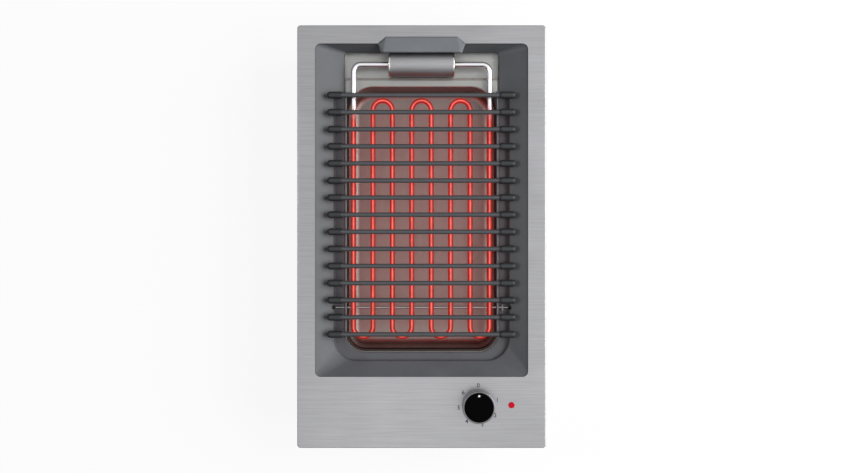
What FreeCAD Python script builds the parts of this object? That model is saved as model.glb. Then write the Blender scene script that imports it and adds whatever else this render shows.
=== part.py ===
"""Built-in electric grill: a narrow hob module with a swing-up element over a drip pan.

Millimetres. The origin is the centre of the worktop seat: +X to the right, +Y to the back, +Z up.
Depths are measured down from the top of the plate.
"""

import FreeCAD
import Part
import Sketcher
import math
import os
from collections import namedtuple

X_AXIS = FreeCAD.Vector(1, 0, 0)
Y_AXIS = FreeCAD.Vector(0, 1, 0)
Z_AXIS = FreeCAD.Vector(0, 0, 1)

# Driving sizes
SIZES = {
    # top plate and its gasket
    "plate_width": 300.0,
    "plate_length": 510.0,
    "plate_height": 5.0,
    "plate_gauge": 1.2,
    "plate_corner": 4.0,
    "plate_edge_round": 1.1,
    "plate_lift": 0.3,
    "gasket_width": 9.0,
    "gasket_gap": 0.5,
    # enamelled surround: rim, slope, ledge and opening
    "surround_width": 257.2,
    "surround_back": 233.0,
    "surround_front": 169.3,
    "surround_corner": 7.0,
    "surround_gauge": 1.6,
    "surround_flange": 4.0,
    "slope_depth": 18.0,
    "opening_width": 188.0,
    "opening_back": 224.3,
    "opening_front": 141.2,
    "opening_back_corner": 3.5,
    "opening_front_corner": 25.0,
    "ledge_width": 213.0,
    "ledge_back": 175.6,
    "ledge_front": 151.0,
    "ledge_back_corner": 3.0,
    "ledge_front_corner": 27.0,
    "notch_width": 4.4,
    "notch_depth": 2.0,
    # raised cover over the hinge
    "cover_back": 241.0,
    "cover_back_width": 86.0,
    "cover_wide_width": 106.0,
    "cover_front_width": 92.6,
    "cover_foot_width": 97.6,
    "cover_front": 221.6,
    "cover_height": 7.0,
    "cover_back_height": 0.9,
    "cover_relief": 2.0,
    "cover_toe": 2.9,
    # hinge barrel and shelf
    "barrel_back": 209.4,
    "barrel_radius": 15.3,
    "barrel_wall": 1.2,
    "barrel_length": 80.0,
    "cap_thickness": 2.2,
    "cap_proud": 0.2,
    "cap_round": 0.8,
    "bush_radius": 6.0,
    "bush_length": 4.0,
    "bush_proud": 0.8,
    "saddle_width": 50.0,
    "saddle_depth": 20.0,
    "saddle_height": 1.6,
    "shelf_front": 194.7,
    "shelf_gauge": 1.2,
    "shelf_lip": 4.8,
    "shelf_front_corner": 1.0,
    # heating element
    "tube_radius": 3.15,
    "leg_count": 8,
    "leg_pitch": 23.62,
    "loop_back": 165.3,
    "loop_front": 121.6,
    "corner_bend": 9.0,
    "tube_end": 30.0,
    "turning_gap": 0.05,
    "pin_radius": 1.2,
    "pin_end": 19.0,
    "insulator_radius": 2.6,
    "insulator_length": 5.0,
    # rod that holds the element's front
    "rod_radius": 1.45,
    "rod_front": 86.3,
    "rod_length": 209.4,
    "rod_clearance": 0.3,
    "rod_gap": 0.1,
    "clip_width": 4.4,
    "clip_length": 6.0,
    "tab_place": 98.6,
    "tab_width": 1.6,
    "tab_length": 7.0,
    "tab_height": 3.4,
    # grid
    "bar_count": 15,
    "bar_radius": 2.8,
    "bar_pitch": 20.63,
    "bar_front": 118.0,
    "bar_depth": 1.0,
    "grid_width": 228.0,
    "end_radius": 4.25,
    "end_round": 4.0,
    "end_length": 21.0,
    "end_wall": 4.0,
    "foot_place": 101.0,
    "foot_top_radius": 3.7,
    "foot_bottom_radius": 3.0,
    "tie_radius": 1.5,
    "tie_place": 91.8,
    "tie_past_bar": 5.0,
    "weld_depth": 0.4,
    # drip pan and what carries it
    "pan_rim_gap": 1.2,
    "pan_rim_depth": 19.5,
    "pan_rim_width": 3.5,
    "pan_rim_height": 1.5,
    "pan_rim_round": 0.6,
    "pan_flange_back": 191.6,
    "pan_well_back": 182.4,
    "pan_back_corner": 30.0,
    "pan_front_corner": 21.0,
    "pan_flange_corner": 3.0,
    "pan_depth": 37.0,
    "pan_draft": 3.6,
    "pan_wall": 1.0,
    "pan_bottom_round": 9.0,
    "pan_mouth_round": 2.8,
    "pan_seat_gap": 0.3,
    "pan_seat_gauge": 1.2,
    "liner_wall": 1.2,
    "liner_depth": 60.5,
    "liner_flange": 8.0,
    "liner_bottom_round": 5.0,
    # casing
    "casing_width": 268.0,
    "casing_length": 484.0,
    "casing_depth": 104.0,
    "casing_gauge": 1.0,
    "casing_corner": 3.0,
    "casing_turn": 4.0,
    "base_gap": 0.2,
    "base_gauge": 1.2,
    "base_lip": 12.0,
    "vent_count": 9,
    "vent_pitch": 12.0,
    "vent_width": 4.0,
    "vent_length": 34.0,
    "vent_front": 205.0,
    "partition_front": 171.5,
    "partition_gauge": 1.0,
    "partition_drop": 0.3,
    "shield_depth": 70.0,
    "shield_gauge": 1.0,
    "shield_lip": 6.0,
    "mat_gap": 0.5,
    "mat_margin": 6.0,
    # regulator and knob
    "knob_x": 68.4,
    "knob_front": 203.5,
    "cap_radius": 17.5,
    "cap_height": 22.0,
    "knob_cap_round": 1.0,
    "knob_lift": 1.0,
    "bezel_radius": 19.65,
    "bezel_height": 18.5,
    "bezel_round": 0.9,
    "cap_foot_gap": 1.0,
    "shaft_radius": 3.0,
    "shaft_in_knob": 13.0,
    "shaft_in_body": 6.0,
    "pointer_radius": 1.25,
    "pointer_place": 14.2,
    "pointer_sunk": 0.6,
    "pointer_proud": 0.1,
    "seal_radius": 6.0,
    "regulator_side": 46.0,
    "regulator_height": 28.0,
    "regulator_drop": 12.0,
    "neck_radius": 5.0,
    "neck_height": 7.5,
    "nut_radius": 8.0,
    "nut_height": 3.0,
    "bracket_gauge": 1.2,
    "bracket_width": 20.0,
    "bracket_reach": 30.0,
    "blade_count": 4,
    "blade_width": 6.3,
    "blade_gauge": 0.8,
    "blade_length": 9.0,
    "blade_pitch": 10.0,
    # pilot lamp
    "lamp_x": 108.5,
    "lamp_front": 203.3,
    "lens_radius": 3.8,
    "lens_height": 1.2,
    "lens_round": 0.7,
    "lens_neck_radius": 3.0,
    "lens_neck_length": 8.0,
    "lamp_hole_gap": 0.15,
    "lamp_body_radius": 4.6,
    "lamp_body_length": 20.0,
    "lamp_ring_radius": 6.5,
    "lamp_ring_height": 1.0,
    # mains entry
    "entry_x": 80.0,
    "entry_height": 16.0,
    "entry_bore": 4.2,
    "entry_neck": 6.5,
    "entry_flange": 9.0,
    "entry_proud": 2.6,
    "entry_inside": 12.0,
    "entry_nut_radius": 9.5,
    "entry_nut_length": 4.0,
    "block_width": 58.0,
    "block_depth": 24.0,
    "block_height": 20.0,
    "block_back": 190.0,
    "block_screw_count": 5,
    "block_screw_radius": 2.6,
    "block_screw_height": 1.6,
    "earth_place": 30.0,
    "earth_radius": 2.5,
    "earth_height": 16.0,
    "earth_nut_radius": 4.6,
    "earth_nut_height": 4.0,
    "cutout_radius": 8.0,
    "cutout_height": 7.0,
    # worktop clamps
    "worktop_thickness": 30.0,
    "clamp_back": 180.0,
    "clamp_width": 20.0,
    "clamp_gauge": 1.6,
    "clamp_reach": 15.0,
    "clamp_drop": 14.0,
    "clamp_leg": 34.0,
    "clamp_screw_radius": 2.0,
    "clamp_screw_place": 8.5,
    "clamp_head_radius": 3.5,
    "clamp_head_height": 2.6,
    "clamp_screw_tail": 8.0,
    # small screws of the base
    "screw_radius": 1.7,
    "screw_length": 7.0,
    "screw_head_radius": 3.4,
    "screw_head_height": 1.6,
    "screw_rows": 3,
    "screw_pitch": 190.0,
    "screw_up": 6.5,
}

DOC = FreeCAD.newDocument("ElectricGrill")
SUBPARTS = []


def make_sheet():
    """The spreadsheet that holds every driving size under its own name."""
    sheet = DOC.addObject("Spreadsheet::Sheet", "Sizes")
    for row, (name, number) in enumerate(SIZES.items(), start=1):
        sheet.set(f"A{row}", name)
        sheet.set(f"B{row}", str(number))
        sheet.setAlias(f"B{row}", name)
    DOC.recompute()
    return sheet


class Size:
    """A number together with its formula in the sheet, so that a property can be bound to it."""

    def __init__(self, value, formula):
        self.value = float(value)
        self.formula = formula

    def __add__(self, other):
        other = as_size(other)
        return Size(self.value + other.value, f"({self.formula} + {other.formula})")

    def __sub__(self, other):
        other = as_size(other)
        return Size(self.value - other.value, f"({self.formula} - {other.formula})")

    def __mul__(self, other):
        other = as_size(other)
        return Size(self.value * other.value, f"({self.formula} * {other.formula})")

    def __truediv__(self, other):
        other = as_size(other)
        return Size(self.value / other.value, f"({self.formula} / {other.formula})")

    def __neg__(self):
        return Size(-self.value, f"(0 - {self.formula})")


def as_size(number):
    if isinstance(number, Size):
        return number
    return Size(number, f"({number})")


def size(name):
    """A driving size by its name in the sheet."""
    return Size(SIZES[name], f"Sizes.{name}")


ZERO = as_size(0)
SHEET = make_sheet()

# Levels and places that several pieces share
PLATE_TOP = size("plate_height")
PLATE_UNDERSIDE = PLATE_TOP - size("plate_gauge")
LEDGE_TOP = PLATE_TOP - size("slope_depth")
LEDGE_UNDERSIDE = LEDGE_TOP - size("surround_gauge")
ROD_LEVEL = LEDGE_TOP + size("rod_clearance") + size("rod_radius")
TUBE_LEVEL = ROD_LEVEL + size("rod_radius") + size("rod_gap") + size("tube_radius")
BARREL_BACK = size("barrel_back")
SHELF_TOP = TUBE_LEVEL - size("barrel_radius") - size("saddle_height")
BAR_LEVEL = PLATE_TOP - size("bar_depth")
PAN_RIM_TOP = PLATE_TOP - size("pan_rim_depth")
PAN_RIM_UNDERSIDE = PAN_RIM_TOP - size("pan_rim_height")
LINER_BOTTOM = PLATE_TOP - size("liner_depth")
SHIELD_TOP = PLATE_TOP - size("shield_depth")
CASING_BOTTOM = -size("casing_depth")
BASE_TOP = CASING_BOTTOM + size("base_gauge")
KNOB_BASE = PLATE_TOP + size("knob_lift")
KNOB_TOP = PLATE_TOP + size("cap_height")
CAP_FOOT = KNOB_BASE + size("cap_foot_gap")
KNOB_Y = -size("knob_front")
LAMP_Y = -size("lamp_front")

Plan = namedtuple("Plan", "left right front back corners")


def plan(half_width, front, back, front_corner, back_corner):
    """A rounded rectangle seen from above, alike to the left and right of the middle."""
    corners = (front_corner, front_corner, back_corner, back_corner)
    return Plan(-half_width, half_width, front, back, corners)


def grown(shape, by):
    """The same plan with every side moved out, and its corners kept concentric."""
    corners = tuple(corner + by for corner in shape.corners)
    return Plan(
        shape.left - by,
        shape.right + by,
        shape.front - by,
        shape.back + by,
        corners,
    )


def bind(thing, prop, amount):
    """Ties one property of an object to the sheet."""
    thing.setExpression(prop, as_size(amount).formula)


def place(thing, x, y, z, rotation=None):
    """Puts an object's own origin at x, y, z and ties the three to the sheet."""
    x, y, z = as_size(x), as_size(y), as_size(z)
    base = FreeCAD.Vector(x.value, y.value, z.value)
    thing.Placement = FreeCAD.Placement(base, rotation or FreeCAD.Rotation())
    bind(thing, "Placement.Base.x", x)
    bind(thing, "Placement.Base.y", y)
    bind(thing, "Placement.Base.z", z)


def box(name, x, y, z):
    """A block between pairs of places on each axis."""
    solid = DOC.addObject("Part::Box", name)
    bind(solid, "Length", as_size(x[1]) - x[0])
    bind(solid, "Width", as_size(y[1]) - y[0])
    bind(solid, "Height", as_size(z[1]) - z[0])
    place(solid, x[0], y[0], z[0])
    return solid


TURN = {
    "x": FreeCAD.Rotation(Y_AXIS, 90),
    "y": FreeCAD.Rotation(X_AXIS, -90),
    "z": FreeCAD.Rotation(),
}


def rod(name, axis, radius, start, length):
    """A round bar that starts at a point and runs along +X, +Y or +Z."""
    solid = DOC.addObject("Part::Cylinder", name)
    bind(solid, "Radius", radius)
    bind(solid, "Height", length)
    place(solid, *start, TURN[axis])
    return solid


def hexagon(name, axis, radius, start, length):
    """A hexagonal nut blank; the radius is to its corners."""
    solid = DOC.addObject("Part::Prism", name)
    solid.Polygon = 6
    bind(solid, "Circumradius", radius)
    bind(solid, "Height", length)
    place(solid, *start, TURN[axis])
    return solid


def fuse(name, pieces):
    whole = DOC.addObject("Part::MultiFuse", name)
    whole.Shapes = list(pieces)
    whole.Refine = True
    return whole


def cut(name, base, tools):
    """The base without the tools."""
    tools = list(tools)
    tool = tools[0] if len(tools) == 1 else fuse(name + "_tools", tools)
    rest = DOC.addObject("Part::Cut", name)
    rest.Base = base
    rest.Tool = tool
    rest.Refine = True
    return rest


def common(name, base, tool):
    """What two solids share."""
    shared = DOC.addObject("Part::Common", name)
    shared.Base = base
    shared.Tool = tool
    shared.Refine = True
    return shared


def group(name, pieces):
    """Separate solids that share one node."""
    whole = DOC.addObject("Part::Compound", name)
    whole.Links = list(pieces)
    return whole


def rounded(name, base, radius, is_wanted):
    """Rounds the edges of a solid that pass a test."""
    DOC.recompute()
    radius = as_size(radius)
    numbers = [i for i, edge in enumerate(base.Shape.Edges, start=1) if is_wanted(edge)]
    soft = DOC.addObject("Part::Fillet", name)
    soft.Base = base
    soft.Edges = [(number, radius.value, radius.value) for number in numbers]
    return soft


def at_level(level):
    """A test for edges that lie flat at one height."""

    def is_flat_there(edge):
        box_of_edge = edge.BoundBox
        near = abs(box_of_edge.ZMin - level.value) < 0.01
        return near and box_of_edge.ZLength < 0.01

    return is_flat_there


def new_body(name):
    return DOC.addObject("PartDesign::Body", name)


def base_plane(body):
    for feature in body.Origin.OriginFeatures:
        if feature.Role == "XY_Plane":
            return feature
    raise RuntimeError("the body has no XY plane")


def outline(body, name, shape, level):
    """A sketch of a rounded rectangle at one height, each of its sizes tied to the sheet."""
    sketch = body.newObject("Sketcher::SketchObject", name)
    sketch.AttachmentSupport = [(base_plane(body), "")]
    sketch.MapMode = "FlatFace"
    lift = FreeCAD.Vector(0, 0, level.value)
    sketch.AttachmentOffset = FreeCAD.Placement(lift, FreeCAD.Rotation())
    bind(sketch, "AttachmentOffset.Base.z", level)
    left, right, front, back = (
        side.value for side in (shape.left, shape.right, shape.front, shape.back)
    )
    radii = [corner.value for corner in shape.corners]

    def line(x1, y1, x2, y2):
        start = FreeCAD.Vector(x1, y1, 0)
        sketch.addGeometry(Part.LineSegment(start, FreeCAD.Vector(x2, y2, 0)), False)

    def arc(x, y, radius, quarter):
        circle = Part.Circle(FreeCAD.Vector(x, y, 0), Z_AXIS, radius)
        first = quarter * math.pi / 2
        sketch.addGeometry(Part.ArcOfCircle(circle, first, first + math.pi / 2), False)

    front_left, front_right, back_right, back_left = radii
    line(left + front_left, front, right - front_right, front)
    arc(right - front_right, front + front_right, front_right, 3)
    line(right, front + front_right, right, back - back_right)
    arc(right - back_right, back - back_right, back_right, 0)
    line(right - back_right, back, left + back_left, back)
    arc(left + back_left, back - back_left, back_left, 1)
    line(left, back - back_left, left, front + front_left)
    arc(left + front_left, front + front_left, front_left, 2)
    for first in range(8):
        second = (first + 1) % 8
        sketch.addConstraint(Sketcher.Constraint("Tangent", first, 2, second, 1))
    for flat in (0, 4):
        sketch.addConstraint(Sketcher.Constraint("Horizontal", flat))
    for upright in (2, 6):
        sketch.addConstraint(Sketcher.Constraint("Vertical", upright))

    def tie(word, constraint, amount):
        number = sketch.addConstraint(constraint)
        sketch.renameConstraint(number, word)
        bind(sketch, f"Constraints.{word}", amount)

    tie("front", Sketcher.Constraint("DistanceY", -1, 1, 0, 1, front), shape.front)
    tie("right", Sketcher.Constraint("DistanceX", -1, 1, 2, 1, right), shape.right)
    tie("back", Sketcher.Constraint("DistanceY", -1, 1, 4, 1, back), shape.back)
    tie("left", Sketcher.Constraint("DistanceX", -1, 1, 6, 1, left), shape.left)
    words = ("front_left", "front_right", "back_right", "back_left")
    for word, geometry, amount in zip(words, (7, 1, 3, 5), shape.corners):
        tie(word, Sketcher.Constraint("Radius", geometry, amount.value), amount)
    return sketch


def pad(body, name, shape, bottom, top):
    """Adds a slab between two levels."""
    feature = body.newObject("PartDesign::Pad", name)
    feature.Profile = outline(body, name + "_plan", shape, bottom)
    bind(feature, "Length", top - bottom)
    body.Tip = feature
    return feature


def pocket(body, name, shape, top, bottom):
    """Takes away a slab between two levels."""
    feature = body.newObject("PartDesign::Pocket", name)
    feature.Profile = outline(body, name + "_plan", shape, top)
    bind(feature, "Length", top - bottom)
    body.Tip = feature
    return feature


def loft(body, name, kind, low, low_level, high, high_level):
    """Adds or takes away a block whose sides slope evenly between two plans."""
    first = outline(body, name + "_low", low, low_level)
    second = outline(body, name + "_high", high, high_level)
    feature = body.newObject(f"PartDesign::{kind}Loft", name)
    feature.Profile = first
    feature.Sections = [second]
    feature.Ruled = True
    body.Tip = feature
    return feature


def soften(body, name, radius, is_wanted):
    """Rounds edges of the body's last feature that pass a test."""
    DOC.recompute()
    last = body.Tip
    names = [f"Edge{i}" for i, edge in enumerate(last.Shape.Edges, start=1) if is_wanted(edge)]
    feature = body.newObject("PartDesign::Fillet", name)
    feature.Base = (last, names)
    bind(feature, "Radius", radius)
    body.Tip = feature
    return feature


def subpart(name, thing):
    """Names a finished piece; the name is also its file's."""
    thing.Label = name
    SUBPARTS.append((name, thing))
    return thing


# Plans seen from above
PLATE_PLAN = plan(
    size("plate_width") / 2,
    -(size("plate_length") / 2),
    size("plate_length") / 2,
    size("plate_corner"),
    size("plate_corner"),
)
SURROUND_PLAN = plan(
    size("surround_width") / 2,
    -size("surround_front"),
    size("surround_back"),
    size("surround_corner"),
    size("surround_corner"),
)
OPENING_PLAN = plan(
    size("opening_width") / 2,
    -size("opening_front"),
    size("opening_back"),
    size("opening_front_corner"),
    size("opening_back_corner"),
)
LEDGE_PLAN = plan(
    size("ledge_width") / 2,
    -size("ledge_front"),
    size("ledge_back"),
    size("ledge_front_corner"),
    size("ledge_back_corner"),
)
CASING_PLAN = plan(
    size("casing_width") / 2,
    -(size("casing_length") / 2),
    size("casing_length") / 2,
    size("casing_corner"),
    size("casing_corner"),
)
CASING_INSIDE = grown(CASING_PLAN, -size("casing_gauge"))
PAN_RIM_PLAN = plan(
    size("opening_width") / 2 - size("pan_rim_gap"),
    -(size("opening_front") - size("pan_rim_gap")),
    size("pan_flange_back"),
    size("opening_front_corner") - size("pan_rim_gap"),
    size("pan_flange_corner"),
)
PAN_MOUTH_PLAN = plan(
    size("opening_width") / 2 - size("pan_rim_gap") - size("pan_rim_width"),
    -(size("opening_front") - size("pan_rim_gap") - size("pan_rim_width")),
    size("pan_well_back"),
    size("pan_front_corner"),
    size("pan_back_corner"),
)
PAN_FLOOR_PLAN = grown(PAN_MOUTH_PLAN, -size("pan_draft"))


def make_top_plate():
    body = new_body("top_plate_body")
    pad(body, "plate_blank", PLATE_PLAN, size("plate_lift"), PLATE_TOP)
    inside = grown(PLATE_PLAN, -size("plate_gauge"))
    soften(body, "plate_edge", size("plate_edge_round"), at_level(PLATE_TOP))
    pressed = box(
        "plate_hollow",
        (inside.left, inside.right),
        (inside.front, inside.back),
        (ZERO, PLATE_UNDERSIDE),
    )
    opening = new_body("plate_opening_body")
    above = PLATE_TOP + size("plate_gauge")
    pad(opening, "plate_opening", SURROUND_PLAN, ZERO, above)
    shaft_hole = rod("shaft_hole", "z", size("seal_radius"), (size("knob_x"), KNOB_Y, ZERO), above)
    lamp_hole = rod(
        "lamp_hole",
        "z",
        size("lens_neck_radius") + size("lamp_hole_gap"),
        (size("lamp_x"), LAMP_Y, ZERO),
        above,
    )
    subpart("top_plate", cut("top_plate", body, [pressed, opening, shaft_hole, lamp_hole]))


def make_gasket():
    outer = grown(PLATE_PLAN, -(size("plate_gauge") + size("gasket_gap")))
    inner = grown(outer, -size("gasket_width"))
    ring = box(
        "gasket_blank",
        (outer.left, outer.right),
        (outer.front, outer.back),
        (ZERO, PLATE_UNDERSIDE),
    )
    hole = box(
        "gasket_hole",
        (inner.left, inner.right),
        (inner.front, inner.back),
        (-PLATE_TOP, PLATE_TOP),
    )
    subpart("worktop_gasket", cut("worktop_gasket", ring, [hole]))


def make_surround():
    """A pressed bowl under the plate: from its flange the wall slopes down to the ledge and the opening."""
    gauge = size("surround_gauge")
    flange_foot = PLATE_UNDERSIDE - gauge
    body = new_body("surround_body")
    flange = grown(SURROUND_PLAN, size("surround_flange"))
    pad(body, "surround_flange", flange, flange_foot, PLATE_UNDERSIDE)
    loft(body, "bowl", "Additive", OPENING_PLAN, LEDGE_UNDERSIDE, SURROUND_PLAN, flange_foot)
    ledge_block_top = LEDGE_TOP + (PLATE_TOP - LEDGE_TOP) / 3
    pad(body, "ledge_block", grown(LEDGE_PLAN, gauge), LEDGE_UNDERSIDE, ledge_block_top)
    loft(body, "slope", "Subtractive", OPENING_PLAN, LEDGE_TOP, SURROUND_PLAN, PLATE_UNDERSIDE)
    pocket(body, "ledge", LEDGE_PLAN, PLATE_TOP, LEDGE_TOP)
    pocket(body, "opening", OPENING_PLAN, PLATE_TOP, LEDGE_UNDERSIDE - gauge)
    half_notch = size("notch_width") / 2
    reach = size("ledge_width") / 2 + size("notch_depth")
    notches = box(
        "rod_notches",
        (-reach, reach),
        (-size("rod_front") - half_notch, -size("rod_front") + half_notch),
        (LEDGE_TOP, PLATE_TOP),
    )
    return subpart("surround", cut("surround", body, [notches]))


def make_hinge_cover(surround):
    """A wedge that rises from the plate's back towards the opening, over the hinge."""
    back, wide, front = size("cover_back"), size("surround_back"), size("cover_front")
    top = PLATE_TOP + size("cover_height")
    low = LEDGE_TOP + size("surround_gauge")
    back_half = size("cover_back_width").value / 2
    wide_half = size("cover_wide_width").value / 2
    front_half = size("cover_front_width").value / 2
    foot_half = size("cover_foot_width").value / 2
    back_top = PLATE_TOP + size("cover_back_height")

    def point(x, y, z):
        return FreeCAD.Vector(x, y.value, z.value)

    def pair(half, y, z):
        return point(-half, y, z), point(half, y, z)

    inside_sheet = size("surround_gauge") / 2
    toe = size("cover_toe")
    toe_share = (toe / (wide - front)).value
    toe_half = foot_half + (wide_half - foot_half) * toe_share

    back_low = pair(back_half, back, PLATE_TOP)
    back_high = pair(back_half, back, back_top)
    wide_low = pair(wide_half, wide, PLATE_TOP)
    wide_foot = pair(wide_half, wide, PLATE_UNDERSIDE - inside_sheet)
    front_high = pair(front_half, front, top)
    front_mid = pair(foot_half, front, PLATE_TOP)
    front_foot = pair(foot_half, front, low)
    toe_low = pair(toe_half, front + toe, LEDGE_TOP - inside_sheet / 2)

    def face(*points):
        return Part.Face(Part.makePolygon(list(points) + [points[0]]))

    def across(first, second):
        return face(first[0], first[1], second[1], second[0])

    faces = [
        across(back_high, front_high),
        across(back_low, back_high),
        across(front_high, front_mid),
        across(front_mid, front_foot),
        across(back_low, wide_low),
        across(wide_low, wide_foot),
        across(wide_foot, toe_low),
        across(toe_low, front_foot),
    ]
    for side in (0, 1):
        faces += [
            face(back_low[side], back_high[side], wide_low[side]),
            face(back_high[side], front_high[side], wide_low[side]),
            face(front_high[side], front_mid[side], wide_low[side]),
            face(wide_low[side], front_mid[side], front_foot[side], toe_low[side], wide_foot[side]),
        ]
    wedge = DOC.addObject("Part::Feature", "hinge_cover_wedge")
    wedge.Shape = Part.makeSolid(Part.makeShell(faces))
    half = size("cover_wide_width") / 2
    relief_radius = size("barrel_radius") + size("cap_proud") + size("cover_relief")
    relief = rod("cover_relief", "x", relief_radius, (-half, BARREL_BACK, TUBE_LEVEL), half * 2)
    subpart("hinge_cover", cut("hinge_cover", wedge, [surround, relief]))


def make_hinge():
    """The barrel, its end caps, the bushes that the element turns in, and their shelf."""
    radius, wall = size("barrel_radius"), size("barrel_wall")
    half, cap = size("barrel_length") / 2, size("cap_thickness")
    sleeve_half = half - cap
    sleeve = rod("barrel_blank", "x", radius, (-sleeve_half, BARREL_BACK, TUBE_LEVEL), sleeve_half * 2)
    bore = rod("barrel_bore", "x", radius - wall, (-half, BARREL_BACK, TUBE_LEVEL), half * 2)
    subpart("hinge_barrel", cut("hinge_barrel", sleeve, [bore]))
    bush_radius, bush_proud = size("bush_radius"), size("bush_proud")
    turning_radius = size("tube_radius") + size("turning_gap")
    cap_radius = radius + size("cap_proud")
    for side, outwards in (("left", -1), ("right", 1)):
        outer_x = half * outwards
        inner_x = sleeve_half * outwards
        start_x = outer_x if outwards < 0 else inner_x
        disc = rod(f"cap_blank_{side}", "x", cap_radius, (start_x, BARREL_BACK, TUBE_LEVEL), cap)
        is_outer_edge = near_x(outer_x)
        soft = rounded(f"cap_soft_{side}", disc, size("cap_round"), is_outer_edge)
        bush_hole = rod(
            f"bush_hole_{side}", "x", bush_radius, (start_x, BARREL_BACK, TUBE_LEVEL), cap
        )
        subpart(f"barrel_cap_{side}", cut(f"barrel_cap_{side}", soft, [bush_hole]))
        bush_outer = outer_x + bush_proud * outwards
        bush_inner = bush_outer - size("bush_length") * outwards
        bush_start = bush_outer if outwards < 0 else bush_inner
        point = (bush_start, BARREL_BACK, TUBE_LEVEL)
        blank = rod(f"bush_blank_{side}", "x", bush_radius, point, size("bush_length"))
        hole = rod(f"bush_bore_{side}", "x", turning_radius, point, size("bush_length"))
        subpart(f"hinge_bush_{side}", cut(f"hinge_bush_{side}", blank, [hole]))
    half_saddle, half_depth = size("saddle_width") / 2, size("saddle_depth") / 2
    block = box(
        "saddle_block",
        (-half_saddle, half_saddle),
        (BARREL_BACK - half_depth, BARREL_BACK + half_depth),
        (SHELF_TOP, TUBE_LEVEL),
    )
    seat = rod("saddle_seat", "x", radius, (-half, BARREL_BACK, TUBE_LEVEL), half * 2)
    subpart("hinge_saddle", cut("hinge_saddle", block, [seat]))
    half_shelf = size("opening_width") / 2
    front_corner, back_corner = size("shelf_front_corner"), size("opening_back_corner")
    shelf_plan = plan(
        half_shelf,
        size("shelf_front"),
        size("opening_back"),
        front_corner,
        back_corner,
    )
    deck = new_body("shelf_deck")
    pad(deck, "shelf_sheet", shelf_plan, SHELF_TOP - size("shelf_gauge"), SHELF_TOP)
    lip = box(
        "shelf_front_lip",
        (-(half_shelf - front_corner), half_shelf - front_corner),
        (size("shelf_front"), size("shelf_front") + size("shelf_gauge")),
        (SHELF_TOP - size("shelf_lip"), SHELF_TOP),
    )
    subpart("hinge_shelf", fuse("hinge_shelf", [deck, lip]))


def near_x(place_x):
    """A test for edges that lie in the plane at one place on X."""

    def is_there(edge):
        box_of_edge = edge.BoundBox
        return box_of_edge.XLength < 0.01 and abs(box_of_edge.XMin - place_x.value) < 0.01

    return is_there


def bend(name, radius, tube, centre, angle, turn):
    """Part of a torus in the element's plane."""
    solid = DOC.addObject("Part::Torus", name)
    bind(solid, "Radius1", radius)
    bind(solid, "Radius2", tube)
    solid.Angle3 = angle
    place(solid, *centre, FreeCAD.Rotation(Z_AXIS, turn))
    return solid


def make_element():
    """One bent tube: two ends in the barrel, a bend at each back corner, and legs joined by loops."""
    tube, pitch, corner = size("tube_radius"), size("leg_pitch"), size("corner_bend")
    count = int(SIZES["leg_count"])
    loop_radius = pitch / 2
    back_centre = size("loop_back") - loop_radius
    front_centre = -(size("loop_front") - loop_radius)
    corner_centre = BARREL_BACK - corner
    outer_x = pitch * (count - 1) / 2
    pieces = []
    for number in range(count):
        x = pitch * number - outer_x
        is_outer = number in (0, count - 1)
        back = corner_centre if is_outer else back_centre
        start = (x, front_centre, TUBE_LEVEL)
        pieces.append(rod(f"leg_{number}", "y", tube, start, back - front_centre))
        if number == count - 1:
            continue
        middle = x + loop_radius
        is_front = number % 2 == 0
        centre_y = front_centre if is_front else back_centre
        turn = 180 if is_front else 0
        centre = (middle, centre_y, TUBE_LEVEL)
        pieces.append(bend(f"loop_{number}", loop_radius, tube, centre, 180, turn))
    for side, outwards in (("left", -1), ("right", 1)):
        centre = ((outer_x - corner) * outwards, corner_centre, TUBE_LEVEL)
        turn = 90 if outwards < 0 else 0
        pieces.append(bend(f"corner_{side}", corner, tube, centre, 90, turn))
        length = outer_x - corner - size("tube_end")
        start_x = -(outer_x - corner) if outwards < 0 else size("tube_end")
        pieces.append(rod(f"end_{side}", "x", tube, (start_x, BARREL_BACK, TUBE_LEVEL), length))
    subpart("heating_element", fuse("heating_element", pieces))
    pins, insulators = [], []
    for side, outwards in (("left", -1), ("right", 1)):
        length = size("tube_end") - size("pin_end")
        start_x = -size("tube_end") if outwards < 0 else size("pin_end")
        point = (start_x, BARREL_BACK, TUBE_LEVEL)
        pins.append(rod(f"pin_{side}", "x", size("pin_radius"), point, length))
        ceramic = size("insulator_length")
        ring_x = -size("tube_end") if outwards < 0 else size("tube_end") - ceramic
        point = (ring_x, BARREL_BACK, TUBE_LEVEL)
        ring = rod(f"ceramic_{side}", "x", size("insulator_radius"), point, ceramic)
        hole = rod(f"ceramic_bore_{side}", "x", size("pin_radius"), point, ceramic)
        insulators.append(cut(f"ceramic_ring_{side}", ring, [hole]))
    subpart("terminal_pins", group("terminal_pins", pins))
    subpart("terminal_insulators", group("terminal_insulators", insulators))


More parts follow.
